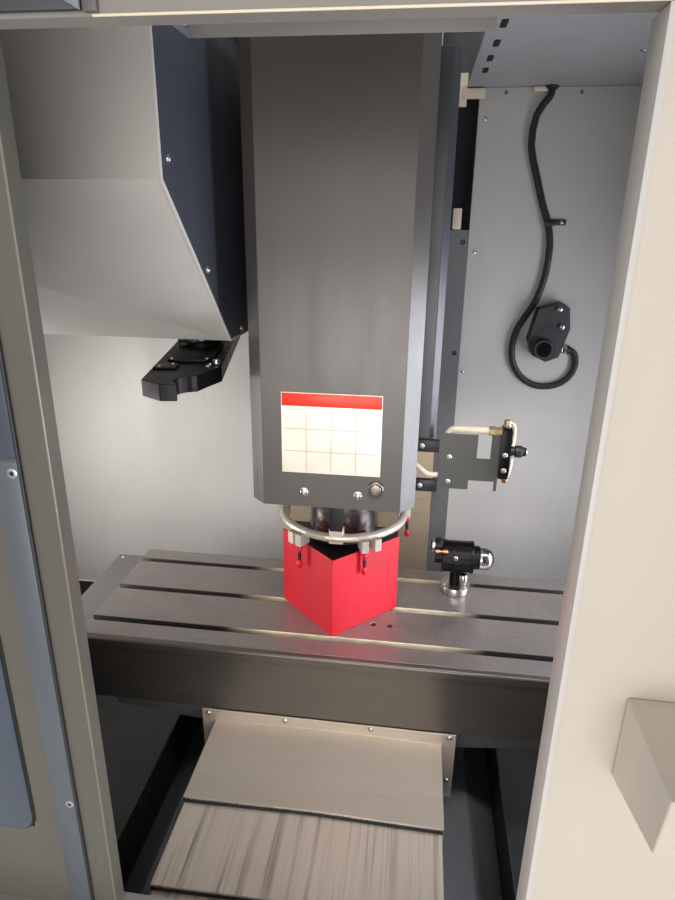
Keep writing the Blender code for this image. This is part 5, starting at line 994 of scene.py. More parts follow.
@dataclass
class HeadDress:
    """What is fitted to the head: placard, screws, button ring, housing sleeve and hanger."""

    cover_face: float = -150.0
    placard_left: float = -90.0
    placard_right: float = 88.0
    placard_foot: float = 371.0
    placard_top: float = 520.0
    band: float = 24.0
    fields: tuple[int, int] = (4, 3)
    cover_screws: tuple[Flat, ...] = ((-50.0, 333.0), (49.0, 332.0))
    button: Flat = (81.0, 348.0)
    spindle_y: float = 63.0
    shelf_top: float = 141.7
    jets: tuple[tuple[str, float], ...] = (("left_jet", -121.0), ("front_jet", -66.5), ("right_jet", 19.0))
    jet_circle: float = 148.0
    jet_ball: float = 168.2

    def placard(self) -> None:
        """Fixes the plain enamelled plate, with its band and its empty ruled fields."""
        piece = Workpiece("head_placard")
        y = self.cover_face
        left, right, foot, top = self.placard_left, self.placard_right, self.placard_foot, self.placard_top
        piece.bar(DATUM.at(left, y - 1.2, foot), DATUM.at(right, y + 0.1, top), PLACARD_CREAM, 0.0005)
        piece.bar(DATUM.at(left + 1, y - 1.5, top - self.band), DATUM.at(right - 1, y - 1.0, top - 1),
                PLACARD_RED, 0.0002)
        ruled = top - self.band
        for column in range(1, self.fields[0]):
            x = left + (right - left) * column / self.fields[0]
            piece.bar(DATUM.at(x - 0.7, y - 1.4, foot + 4), DATUM.at(x + 0.7, y - 1.0, ruled - 4),
                    PLACARD_LINE, 0.0001, 1)
        for row in range(1, self.fields[1]):
            z = foot + (ruled - foot) * row / self.fields[1]
            piece.bar(DATUM.at(left + 4, y - 1.4, z - 0.7), DATUM.at(right - 4, y - 1.0, z + 0.7),
                    PLACARD_LINE, 0.0001, 1)
        piece.place("head")

    def cover_fittings(self) -> None:
        """Sets the cover's screws and the ring round the release button."""
        piece = Workpiece("head_cover_screws")
        for x, z in self.cover_screws:
            piece.screw(DATUM.at(x, self.cover_face, z), OUT, 7.4, SCREW_STEEL)
        piece.place("head")
        ring = Workpiece("release_ring")
        x, z = self.button
        ring.turned([(10.9, 0), (10.9, 5.4), (11.4, 6.0), (13.2, 5.6), (14.4, 4.2), (14.8, 0), (10.9, 0)],
                DATUM.at(x, self.cover_face, z), OUT, RING_DARK, 40)
        ring.place("head")
        cap = Workpiece("release_cap")
        cap.turned([(0, 0.2), (3.0, 0.25), (3.4, 0.9), (7.8, 0.8), (9.3, 0.1), (9.3, -0.3), (0, -0.3)],
                DATUM.at(x, -158.0, z), OUT, CAP_STEEL, 32)
        cap.place("tool_release")

    def housing(self) -> None:
        """Dresses the spindle housing and the ring's front hanger, and lays a black sheet on the bracket's shelf
        as painted shade.
        """
        sleeve = Workpiece("housing_sleeve")
        profile = [(75.1, 1), (76.4, 1.6), (76.4, 30), (75.6, 31), (75.6, 35), (76.4, 36), (76.4, 120),
                (75.6, 121), (75.6, 124), (76.4, 125), (76.4, 146), (75.1, 146.5), (75.1, 1)]
        sleeve.turned(profile, DATUM.at(0, self.spindle_y, 157), UP, SPINDLE_STEEL, 72)
        for angle in range(15, 375, 45):
            x, y = 66 * math.cos(math.radians(angle)), self.spindle_y + 66 * math.sin(math.radians(angle))
            sleeve.screw(DATUM.at(x, y, 156.0), -UP, 4.2, BLACKED_STEEL, 12)
        sleeve.place("head")
        hanger = Workpiece("ring_hanger")
        hanger.bar(DATUM.at(-13, -78, 219), DATUM.at(13, -60, 303.6), BLACK_PLASTIC, 0.0015)
        hanger.bar(DATUM.at(-14.5, -72, 188), DATUM.at(14.5, -55, 221), CLIP_CREAM, 0.0015)
        for x in (-8.5, 8.5):
            hanger.screw(DATUM.at(x, -72, 215.5), OUT, 2.6, SCREW_STEEL, 12)
        hanger.place("head")
        # Painted shade: a black sheet hides the red shelf, which lies in the head's shadow.
        shade_sheet = Workpiece("shelf_shade_sheet")
        z = self.shelf_top
        outline = [DATUM.at(x, y, 0).xy for x, y in ((0, -113), (119, 6), (119, 108), (-119, 108),
                (-119, 6))]
        shade_sheet.plate(outline, Axis.Z, DATUM.at(0, 0, z + 0.2).z, DATUM.at(0, 0, z + 3.2).z, BLACK_RUBBER,
                0.0008)
        shade_sheet.place("head")

    def jet_sleeves(self) -> None:
        """Puts the dark sleeve round the neck of each coolant jet."""
        for body, degrees in self.jets:
            angle = math.radians(degrees)
            x, y = self.jet_circle * math.cos(angle), self.spindle_y + self.jet_circle * math.sin(angle)
            sleeve = Workpiece(f"{body}_sleeve")
            sleeve.turned([(0, -26), (3.5, -26), (3.5, -20), (4.2, -19), (4.2, -15), (3.5, -14), (3.5, -9),
                    (0, -9)], DATUM.at(x, y, self.jet_ball), UP, BLACK_PLASTIC, 20)
            sleeve.place(body)

    def build(self) -> None:
        """Fits every piece of the head."""
        self.placard()
        self.cover_fittings()
        self.housing()
        self.jet_sleeves()


@dataclass
class AirLineDress:
    """The notched plate at the head's right, with its hoses, valve and knob."""

    plate_face: float = -52.0
    plate_screws: tuple[Flat, ...] = ((213.6, 381.5), (213.6, 331.4))
    tab_screws: tuple[Flat, ...] = ((160.5, 402.5), (160.5, 321.5))
    valve_screws: tuple[Flat, ...] = ((314.8, 394.0), (314.8, 363.0))

    def plate_fittings(self) -> None:
        """Sets the plate's screws and the blocks that hold it off the cover."""
        piece = Workpiece("bracket_blocks")
        for low, high in ((309.5, 333.5), (390.5, 414.0)):
            piece.bar(DATUM.at(152.4, -57, low), DATUM.at(192.6, -45, high), BLACK_PLASTIC, 0.0012)
        for x, z in self.tab_screws:
            piece.screw(DATUM.at(x, -57, z), OUT, 4.4, SCREW_STEEL)
        for x, z in self.plate_screws:
            piece.screw(DATUM.at(x, self.plate_face, z), OUT, 4.6, SCREW_STEEL)
        piece.place("head")

    def hoses(self) -> None:
        """Bends the two cream hoses. Both ends of each are held, so they stay as the fitter left them."""
        upper = Workpiece("air_hose_upper")
        upper.tube([DATUM.at(*p) for p in ((203, -40, 404), (206, -41, 424), (214, -45, 436),
                (226, -48, 437), (244, -49, 437), (286, -49, 437))], 0.0066, HOSE_CREAM)
        upper.place("head")
        lower = Workpiece("air_hose_lower")
        lower.tube([DATUM.at(*p) for p in ((148, -47, 362), (157, -48, 357), (168, -50, 344),
                (186, -48, 341), (204, -42, 343), (212, -38, 350))], 0.0052, HOSE_CREAM)
        lower.place("head")

    def valve(self) -> None:
        """Fits the connectors, the elbow, the small bypass hose and the knurled knob."""
        piece = Workpiece("valve_fittings")
        piece.turned([(0, 0), (8.4, 0), (9.4, 1), (9.4, 11), (8.4, 12), (7.4, 12.5), (7.4, 16), (8.8, 16.5),
                (8.8, 24), (0, 24)], DATUM.at(282, -49, 437), RIGHT, BRASS, 6)
        piece.turned([(0, 0), (7.4, 0), (7.8, 1), (7.8, 5), (6.4, 6), (6.4, 8), (7.2, 9), (6.0, 13),
                (0, 13.6)], DATUM.at(314.8, -49, 446), UP, BRASS, 24)
        piece.turned([(0, 0), (5.4, 0), (6.2, 1), (6.2, 6), (4.6, 10), (0, 11)], DATUM.at(320, -49, 345.4),
                -UP, COPPER, 20)
        piece.bar(DATUM.at(305.2, -60.4, 352), DATUM.at(324.4, -58.4, 442), BLACKED_STEEL, 0.0008)
        for x, z in self.valve_screws:
            piece.screw(DATUM.at(x, -60.4, z), OUT, 4.6, SCREW_STEEL)
        piece.tube([DATUM.at(*p) for p in ((318, -49, 452), (326, -50, 455), (329, -52, 444),
                (329, -52, 425), (328, -52, 412))], 0.0032, HOSE_CREAM)
        piece.tube([DATUM.at(*p) for p in ((328, -52, 386), (328, -52, 366), (326, -51, 350),
                (321, -49, 344))], 0.0032, HOSE_CREAM)
        piece.place("head")
        knob = Workpiece("valve_knob")
        knob.turned([(0, 0), (8.8, 0), (9.6, 1), (9.6, 4), (8.4, 5), (8.4, 8), (11.2, 9.5), (11.4, 20),
                (10.2, 22), (8.6, 22.4), (8.6, 26), (0, 26)], DATUM.at(324, -49, 399), RIGHT, BLACK_PLASTIC,
                24)
        knob.turned([(0, 0), (5.2, 0), (5.6, 0.8), (5.6, 3.5), (4.2, 5.2), (0, 5.6)],
                DATUM.at(349.6, -49, 399), RIGHT, BRIGHT_STEEL, 20)
        knob.place("head")

    def build(self) -> None:
        """Fits every piece of the air line."""
        self.plate_fittings()
        self.hoses()
        self.valve()


@dataclass
class ChangerDress:
    """The tool changer's painted edge highlight, its screws and the fittings of its arm."""

    profile: tuple[Flat, ...] = ((-350.0, 1093.0), (-350.0, 845.0), (-80.0, 593.0), (20.0, 593.0))
    side_screws: tuple[Flat, ...] = ((-321.0, 873.0), (-187.0, 724.0), (-8.0, 605.0), (-229.0, 1050.0))
    pivot: Flat = (-305.0, 63.0)
    arm_turn: float = 12.0
    arm_top: float = 553.0

    def on_arm(self, across: float, along: float, height: float) -> Vector:
        """Gives the point of a place that is measured on the arm, from its shaft.

        Args:
            across: distance across the arm, in millimetres.
            along: distance along the arm, in millimetres.
            height: height over the table top, in millimetres.

        Returns:
            The point in the model's metres.
        """
        turn = math.radians(self.arm_turn)
        x = self.pivot[0] + across * math.cos(turn) - along * math.sin(turn)
        y = self.pivot[1] + across * math.sin(turn) + along * math.cos(turn)
        return DATUM.at(x, y, height)

    def shroud_edge(self) -> None:
        """Lays a pale strip along the shroud's right side as a painted highlight on its fold, and sets the side
        screws.
        """
        piece = Workpiece("shroud_edge")
        outer = [(-350.6, 1093.0), (-350.6, 844.7), (-80.4, 592.4), (20.0, 592.4)]
        inner = [(20.0, 596.4), (-78.8, 596.4), (-346.6, 846.4), (-346.6, 1093.0)]
        outline = [DATUM.at(0, y, z).yz for y, z in outer + inner]
        # Painted highlight: the pale strip stands in for light on the fold between the shroud's face and its side.
        piece.plate(outline, Axis.X, DATUM.at(-200.6, 0, 0).x, DATUM.at(-195.6, 0, 0).x, EDGE_HIGHLIGHT, 0.0008)
        for y, z in self.side_screws:
            piece.screw(DATUM.at(-196.7 if z < 1000 else -195.6, y, z), RIGHT, 6.0, SCREW_STEEL)
        piece.place("machine")

    def arm_fittings(self) -> None:
        """Screws the cover plate, hub ring, grip blocks and plungers to the arm."""
        piece = Workpiece("arm_fittings")
        top = self.arm_top
        plate = [self.on_arm(u, v, 0).xy for u, v in ((-42, -150), (-26, -166), (30, -166), (42, -150),
                (42, 150), (26, 166), (-30, 166), (-42, 150))]
        piece.plate(plate, Axis.Z, DATUM.at(0, 0, top - 0.3).z, DATUM.at(0, 0, top + 6).z, BLACKED_STEEL,
                0.0014)
        piece.turned([(31, 0), (47, 0), (47, 9), (44, 12), (31, 12), (31, 0)], self.on_arm(0, 0, top + 5.5),
                UP, BLACKED_STEEL, 48)
        for bolt in range(6):
            angle = math.radians(60 * bolt + 20)
            piece.screw(self.on_arm(39 * math.cos(angle), 39 * math.sin(angle), top + 17.5), UP, 3.4,
                    SCREW_STEEL, 12)
        for side in (1, -1):
            grip = [self.on_arm(side * u, side * v, 0).xy for u, v in ((-56, -222), (-16, -222),
                    (-16, -186), (-56, -186))]
            piece.plate(grip, Axis.Z, DATUM.at(0, 0, top - 0.3).z, DATUM.at(0, 0, top + 4).z, BLACKED_STEEL,
                    0.0012)
            for u, v, size in ((-46, -214, 3.6), (-26, -194, 3.6), (36, -196, 4.6), (38, -178, 3.8),
                    (-34, -156, 4.0), (30, -156, 4.0)):
                lift = top + (6 if abs(v) < 166 else 4 if u < 0 else 0)
                piece.screw(self.on_arm(side * u, side * v, lift), UP, size, SCREW_STEEL, 14)
            piece.turned([(0, 0), (6.2, 0), (6.8, 1), (6.8, 9), (5.6, 11), (0, 11.5)],
                    self.on_arm(side * 50, side * -186, top - 0.3), UP, BRIGHT_STEEL, 20)
        piece.place("arm")

    def magazine_pots(self) -> None:
        """Fits the rim of each tool pot and the magazine's hub."""
        piece = Workpiece("magazine_pots")
        circle, left, right = 178.4, -665.0, -615.0
        for pot in range(12):
            angle = math.tau * pot / 12
            y, z = 100 + circle * math.cos(angle), 840 + circle * math.sin(angle)
            for face, way in ((right, RIGHT), (left, -RIGHT)):
                piece.turned([(21.6, -6), (21.6, 2), (23, 3), (26, 3), (27.5, 1.6), (27.5, -0.4),
                        (21.6, -6)], DATUM.at(face, y, z), way, SATIN_STEEL, 20)
        piece.turned([(0, 0), (62, 0), (62, 6), (56, 10), (34, 12), (30, 20), (0, 20)],
                DATUM.at(right, 100, 840), RIGHT, CASTING_GREY, 40)
        piece.place("tool_magazine")

    def build(self) -> None:
        """Fits every piece of the tool changer."""
        self.shroud_edge()
        self.arm_fittings()
        self.magazine_pots()


@dataclass
class TableDress:
    """The measuring probe on the table, and the screws of the table's covers."""

    probe_x: float = 258.0
    probe_y: float = 100.0
    probe_axis: float = 88.0

    def probe(self) -> None:
        """Dresses the probe with its dome, rings, stylus disc, stud, nut and socket."""
        y, z = self.probe_y, self.probe_axis
        piece = Workpiece("probe_fittings")
        piece.turned([(0, 0), (26.6, 0), (27.2, 1), (27.2, 5.5), (26.4, 17), (24.6, 22), (20, 27), (13, 31),
                (6, 33), (0, 33.5)], DATUM.at(306.4, y, z), RIGHT, BRIGHT_STEEL, 40)
        for start, radius, width in ((226.5, 37.2, 6.0), (246.0, 37.0, 3.0), (286.0, 37.2, 6.5),
                (298.0, 27.2, 4.0)):
            piece.turned([(radius - 3, 0), (radius, 0.6), (radius, width - 0.6), (radius - 3, width),
                    (radius - 3, 0)], DATUM.at(start, y, z), RIGHT, BLACKED_STEEL, 40)
        piece.turned([(0, 0), (32.4, 0), (33.6, 0.8), (33.6, 17.0), (32.8, 18.2), (0, 18.2)],
                DATUM.at(self.probe_x, y, 0.3), UP, SATIN_STEEL, 48)
        for angle in (200, 320, 80):
            x = self.probe_x + 26 * math.cos(math.radians(angle))
            piece.screw(DATUM.at(x, y + 26 * math.sin(math.radians(angle)), 18.5), UP, 4.0, SCREW_STEEL, 14)
        piece.turned([(0, 0), (4.2, 0), (4.8, 0.8), (4.8, 10), (3.4, 11), (3.4, 16), (4.8, 17), (4.8, 27),
                (4.0, 28), (0, 28)], DATUM.at(205.5, 66, 115.5), RIGHT, COPPER, 20)
        piece.turned([(10, 0), (16.4, 0), (17.2, 1), (17.2, 4.6), (16.4, 5.6), (10, 5.6), (10, 0)],
                DATUM.at(198.5, 88, 119), RIGHT, SATIN_STEEL, 40)
        piece.turned([(0, -3), (10.2, -3), (10.2, 14), (9, 16), (0, 16)], DATUM.at(198.5, 88, 119), RIGHT,
                BLACK_PLASTIC, 24)
        piece.turned([(0, 0), (8.4, 0), (8.4, 9), (9.6, 10), (9.6, 14), (7.0, 16), (0, 16.4)],
                DATUM.at(214.5, 88, 120), UP, BLACK_PLASTIC, 24)
        piece.turned([(0, 0), (8.6, 0), (9.2, 0.8), (9.2, 12), (7.4, 13), (7.4, 20), (9.6, 21), (9.6, 34),
                (7.6, 37), (0, 38)], DATUM.at(273.5, 78, 17.8), UP, BRIGHT_STEEL, 24)
        piece.screw(DATUM.at(251.5, 65.6, 101.0), OUT, 5.2, SATIN_STEEL, 20)
        piece.place("work_table")

    def slot_walls(self) -> None:
        """Lines the rear wall of each slot with painted shade and a painted lamp reflection, and fits the rims of
        the two small holes.
        """
        piece = Workpiece("slot_walls")
        for middle in (-125.0, 0.0, 125.0):
            piece.bar(DATUM.at(-517.6, middle + 7.0, -17.6), DATUM.at(517.6, middle + 8.3, 0.15), SLOT_SHADE_AND_GLINT,
                    0.0003)
        for x in (98.0, 133.0):
            piece.turned([(6.1, -1.5), (8.6, 0.0), (8.8, 0.25), (8.2, 0.35), (6.1, -0.6), (6.1, -1.5)],
                    DATUM.at(x, -63, 0), UP, SATIN_STEEL, 28)
        piece.place("work_table")

    def cover_screws(self) -> None:
        """Screws down the end covers and the skirt's hidden flange."""
        piece = Workpiece("table_cover_screws")
        for x in (-585.0, -530.0, 530.0, 585.0):
            for y in (-165.0, 165.0):
                piece.screw(DATUM.at(x, y, -21.9), UP, 3.6, SCREW_STEEL, 14)
        for side, x in ((-1, -600.0), (1, 600.0)):
            for y, z in ((-150.0, -45.0), (150.0, -45.0), (-150.0, -120.0), (150.0, -120.0)):
                piece.screw(DATUM.at(x, y, z), RIGHT * side, 4.2, SCREW_STEEL, 14)
        piece.place("work_table")

    def build(self) -> None:
        """Fits every piece of the table."""
        self.probe()
        self.slot_walls()
        self.cover_screws()


@dataclass
class CoverDress:
    """Screws and wiper lips of the nesting covers."""

    flange_face: float = -189.3
    flange_screws: tuple[Flat, ...] = ((-247.0, -162.0), (-85.0, -162.0), (91.0, -160.0), (247.0, -160.0),
            (-248.0, -270.0), (248.0, -270.0))
    half: float = 232.5
    crease: float = 6.0

    def wiper(self, name: str, body: str, level: int, front: float) -> None:
        """Clamps the rubber lip and its steel strip under one cover's front edge.

        Args:
            name: name of the piece.
            body: the cover's body.
            level: which of the nested covers it is, from the top.
            front: the cover's front edge, in millimetres.
        """
        half, top = self.half - 3 * level, -174.0 - 10 * level
        piece = Workpiece(name)
        for drop, thick, face, finish in ((0.6, 3.2, 1.2, SATIN_STEEL), (3.8, 5.9, 2.2, BLACK_RUBBER)):
            outline = [DATUM.at(x, 0, z).xz for x, z in ((-half + 1, top - drop - self.crease),
                    (0, top - drop), (half - 1, top - drop - self.crease),
                    (half - 1, top - drop - thick - self.crease), (0, top - drop - thick),
                    (-half + 1, top - drop - thick - self.crease))]
            piece.plate(outline, Axis.Y, DATUM.at(0, front - face, 0).y, DATUM.at(0, front + 0.4, 0).y,
                    finish, 0.0004)
        piece.place(body)

    def build(self) -> None:
        """Fits the wipers and the flange screws."""
        screws = Workpiece("cover_flange_screws")
        for x, z in self.flange_screws:
            screws.screw(DATUM.at(x, self.flange_face, z), OUT, 5.6, SCREW_STEEL)
        screws.place("cross_slide")
        self.wiper("wiper_upper", "cross_slide", 0, -377.0)
        self.wiper("wiper_middle", "y_cover", 1, -530.0)


@dataclass
class DoorDress:
    """One sliding door's clamp strips, seals, painted highlight along its meeting edge, and outer pane."""

    side: str
    body: str
    inner_edge: float
    way: int
    face: float = -594.0
    foot: float = -158.0
    top: float = 1033.0
    joint: float = 545.0
    pane_near: float = 104.5
    pane_far: float = 317.5
    pane_foot: float = -13.0
    pane_head: float = 927.0
    pane_corner: float = 24.0
    seal_offset: float = 1.6

    def across(self, distance: float) -> float:
        """Gives the X of a place that is measured from the door's meeting edge."""
        return self.inner_edge + self.way * distance

    def strip(self, piece: Workpiece, start: float, end: float, depth: tuple[float, float], span: Flat,
            finish: Finish, edge: float = 0.0006) -> None:
        """Adds an upright strip to a piece.

        Args:
            piece: the piece that gets the strip.
            start: its near side, in millimetres from the meeting edge.
            end: its far side, in millimetres from the meeting edge.
            depth: its front and back faces, in millimetres from the datum.
            span: its foot and top, in millimetres from the datum.
            finish: its surface finish.
            edge: radius of its edges, in metres.
        """
        piece.bar(DATUM.at(self.across(start), depth[0], span[0]),
                DATUM.at(self.across(end), depth[1], span[1]), finish, edge)

    def glazing(self, piece: Workpiece) -> None:
        """Glues the outer pane over the window opening, with its rubber seal.

        Args:
            piece: the door's piece that gets them.
        """
        near, far, foot, head = self.pane_near, self.pane_far, self.pane_foot, self.pane_head
        corner, seal = self.pane_corner, self.pane_corner + self.seal_offset
        ends = sorted((self.across(near), self.across(far)))
        pane = [DATUM.at(x, 0, z).xz for x, z in ((ends[0], foot), (ends[1], foot), (ends[1], head),
                (ends[0], head))]
        piece.plate(pane, Axis.Y, DATUM.at(0, self.face - 4.6, 0).y, DATUM.at(0, self.face - 0.4, 0).y,
                TINTED, 0.0008, corner / 1000)
        path = []
        for x, z, start in ((ends[1] - corner, foot + corner, -90), (ends[1] - corner, head - corner, 0),
                (ends[0] + corner, head - corner, 90), (ends[0] + corner, foot + corner, 180)):
            for step in range(0, 91, 15):
                angle = math.radians(start + step)
                path.append(DATUM.at(x + seal * math.cos(angle), self.face - 0.8,
                        z + seal * math.sin(angle)))
        path.append(path[0])
        piece.tube(path, 0.0018, BLACK_RUBBER)

    def build(self) -> None:
        """Fits the door's strips, seal, painted edge highlight, screws and window."""
        piece = Workpiece(f"{self.side}_door_strips")
        # Painted highlight: a lighter strip along the meeting edge stands in for light on the door's fold.
        self.strip(piece, 0.0, 2.6, (self.face - 0.6, self.face + 1.4), (self.foot + 2, self.top),
                STILE_HIGHLIGHT, 0.0009)
        self.strip(piece, 33.4, 36.8, (-598.4, -593.8), (self.foot + 8, self.top), SEAL_GREY, 0.0014)
        for low, high, finish in ((self.foot + 8, self.joint - 0.8, CLAMP_BLUE),
                (self.joint + 0.8, self.top, CLAMP_DARK)):
            self.strip(piece, 36.6, 67.4, (-598.9, -593.8), (low, high), finish, 0.0010)
        for z in (46.0, 530.0, 1010.0):
            piece.turned([(2.3, 0.1), (2.6, 0.8), (4.4, 0.74), (6.0, 0.2), (6.3, -0.3), (2.3, -0.3),
                    (2.3, 0.1)], DATUM.at(self.across(44.0), -598.9, z), OUT, SCREW_STEEL, 24)
            # The socket is a black disc of painted shade.
            piece.turned([(0, 0.12), (2.4, 0.12), (2.4, -0.3), (0, -0.3)],
                    DATUM.at(self.across(44.0), -598.9, z), OUT, SHADE_AND_MARK_BLACK, 6)
        for z in (-60.0, 545.0):
            piece.turned([(0, 0.9), (3.6, 0.8), (4.6, 0), (4.6, -0.4), (0, -0.4)],
                    DATUM.at(self.across(16.0), self.face, z), OUT, STILE_GREY, 16)
        piece.place(self.body)
        glazing = Workpiece(f"{self.side}_door_glazing")
        self.glazing(glazing)
        glazing.place(self.body)


@dataclass
class FrameDress:
    """Trim and small fittings of the enclosure that the operator sees through the doors."""

    roof: float = 1094.0
    wall: float = 450.0
    front: float = -640.0
    lintel: float = 943.0
    roof_slots: tuple[Flat, ...] = ((247.6, -20.0), (247.8, 91.0), (246.8, 192.0), (246.2, 287.0))
    wall_screws: tuple[Flat, ...] = ((265.4, 1029.7), (266.4, 737.2), (260.5, 440.7), (720.0, 1040.0),
            (720.0, 500.0), (920.0, 740.0))
    wall_plugs: tuple[Flat, ...] = ((308.0, 1083.0), (473.0, 1082.5))

    def lintel_trim(self) -> None:
        """Lays a thin bright strip under the lintel as a painted highlight on its lip, and fixes the dark trim at
        its left.
        """
        piece = Workpiece("lintel_trim")
        foot = self.lintel
        # Painted highlight: the thin bright strip stands in for light on the lintel's rounded lip.
        piece.bar(DATUM.at(-125.6, self.front - 1.4, foot - 0.4),
                DATUM.at(306, self.front + 0.6, foot + 1.8), LIP_HIGHLIGHT, 0.0009, 3)
        piece.bar(DATUM.at(-470, self.front - 6, foot + 3.4), DATUM.at(-132, self.front + 0.4, foot + 110),
                TRIM_DARK, 0.002)
        tab = [DATUM.at(x, 0, foot + z).xz for x, z in ((-168, 22), (-132.2, 2.6), (-132.2, 22))]
        piece.plate(tab, Axis.Y, DATUM.at(0, self.front - 8.5, 0).y, DATUM.at(0, self.front - 5.5, 0).y,
                TAB_GREY, 0.0004)
        piece.bar(DATUM.at(-131.4, self.front - 5, foot + 2.4),
                DATUM.at(-119.5, self.front + 0.4, foot + 24), STRIP_GREY, 0.0008)
        piece.place("machine")

    def panel_edge(self) -> None:
        """Fits pale strips on the right front panel's edge as a painted highlight."""
        piece = Workpiece("panel_edge")
        # Painted highlight: pale strips on the panel's edge stand in for the light that its fold catches.
        piece.bar(DATUM.at(305.4, -640.4, -158.5), DATUM.at(307.3, -600.2, 942.5), EDGE_HIGHLIGHT, 0.0005)
        piece.bar(DATUM.at(304.6, -642.0, -158.5), DATUM.at(311.0, -639.6, 942.5), EDGE_HIGHLIGHT, 0.0009)
        piece.place("machine")

    def roof_fittings(self) -> None:
        """Lays black plates over the keyhole slots as painted shade in their mouths, and fits the gusset, grommet
        and screws of the roof.
        """
        piece = Workpiece("roof_fittings")
        for x, y in self.roof_slots:
            # Painted shade: a black plate fills each slot's mouth.
            slot = [DATUM.at(x + dx, y + dy, 0).xy for dx, dy in ((-5.6, -22), (5.6, -22), (5.6, 22),
                    (-5.6, 22))]
            piece.plate(slot, Axis.Z, DATUM.at(0, 0, self.roof - 0.5).z, DATUM.at(0, 0, self.roof + 0.3).z,
                    SHADE_AND_MARK_BLACK, 0.0, 0.0045)
        piece.screw(DATUM.at(511, 155.5, self.roof), -UP, 6.0, SCREW_STEEL)
        piece.bar(DATUM.at(-196.4, -214, 1035), DATUM.at(221, -211.6, self.roof + 0.3), VALANCE_GREY,
                0.0006)
        piece.bar(DATUM.at(-197.4, -349, 1034), DATUM.at(-195.6, -212.2, self.roof + 0.3), TAB_GREY, 0.0006)
        piece.turned([(8.4, 0), (14, 0), (15.5, 1.6), (14, 4.5), (10.5, 7.5), (8.4, 8), (8.4, 0)],
                DATUM.at(406, 441.5, self.roof), -UP, BLACK_RUBBER, 28)
        piece.place("machine")

    def wall_fittings(self) -> None:
        """Fits the wall's screws and plugs, the cable clip, and the cream guides beside the column."""
        piece = Workpiece("wall_fittings")
        for x, z in self.wall_screws:
            piece.screw(DATUM.at(x, self.wall, z), OUT, 4.8, SCREW_STEEL)
        for x, z in self.wall_plugs:
            piece.turned([(0, 0.7), (3.4, 0.6), (4.4, 0), (4.4, -0.3), (0, -0.3)],
                    DATUM.at(x, self.wall, z), OUT, STRIP_GREY, 16)
        piece.bar(DATUM.at(200, 443, 1054), DATUM.at(221, 449.6, 1122), CLIP_CREAM, 0.0015)
        piece.bar(DATUM.at(212, 440, 1070), DATUM.at(261, 449.6, 1091), CLIP_CREAM, 0.0015)
        piece.bar(DATUM.at(208, 443, 790), DATUM.at(229, 452, 838), CLIP_CREAM, 0.002)
        # Painted shade: a black sheet behind the column strip makes its holes look dark.
        piece.bar(DATUM.at(190, 471, 700), DATUM.at(262, 473, 1093), SHADE_AND_MARK_BLACK, 0.0004)
        piece.bar(DATUM.at(150, 471, 1093.5), DATUM.at(300, 473, 1500), TRIM_DARK, 0.0004)
        piece.bar(DATUM.at(366, 438, 1083), DATUM.at(398, 449.6, 1092.5), CLIP_CREAM, 0.0015)
        piece.bar(DATUM.at(424, 430, 800), DATUM.at(448, 449.8, 811), BLACK_PLASTIC, 0.002)
        piece.bar(DATUM.at(440, 444, 802), DATUM.at(474, 449.8, 815), BLACK_PLASTIC, 0.002)
        piece.screw(DATUM.at(464, 444, 808.5), OUT, 4.0, SCREW_STEEL)
        piece.place("machine")

    def receiver_fittings(self) -> None:
        """Dresses the receiver with its lens, cap screws and cable gland."""
        piece = Workpiece("receiver_fittings")
        face = 397.0
        piece.turned([(0, 0.4), (13, 0.4), (15.4, 2.6), (17.5, 2.8), (17.5, -0.4), (0, -0.4)],
                DATUM.at(447, 388.9, 516), OUT, LENS_DARK, 36)
        piece.turned([(17.8, -7.5), (17.8, 3.4), (19, 4.2), (22.6, 4.0), (24.6, 2.4), (24.8, -7.5),
                (17.8, -7.5)], DATUM.at(447, 388.9, 516), OUT, BLACK_PLASTIC, 40)
        for x, z in ((476.0, 612.0), (486.0, 570.0)):
            piece.screw(DATUM.at(x, face, z), OUT, 5.4, SCREW_STEEL)
        piece.turned([(8.8, 0), (11.4, 0.4), (11.8, 1.4), (11.8, 7), (10.2, 8), (10.2, 13), (9.0, 14),
                (8.8, 14), (8.8, 0)], DATUM.at(500.0, 441.5, 508), RIGHT, BRIGHT_STEEL, 6)
        piece.turned([(8.3, 0), (10.6, 0.4), (10.6, 5), (9.6, 6.5), (8.3, 6.5), (8.3, 0)],
                DATUM.at(513.5, 441.5, 508), RIGHT, BLACK_RUBBER, 24)
        piece.place("machine")

    def build(self) -> None:
        """Fits every piece of the enclosure's inside."""
        self.lintel_trim()
        self.panel_edge()
        self.roof_fittings()
        self.wall_fittings()
        self.receiver_fittings()


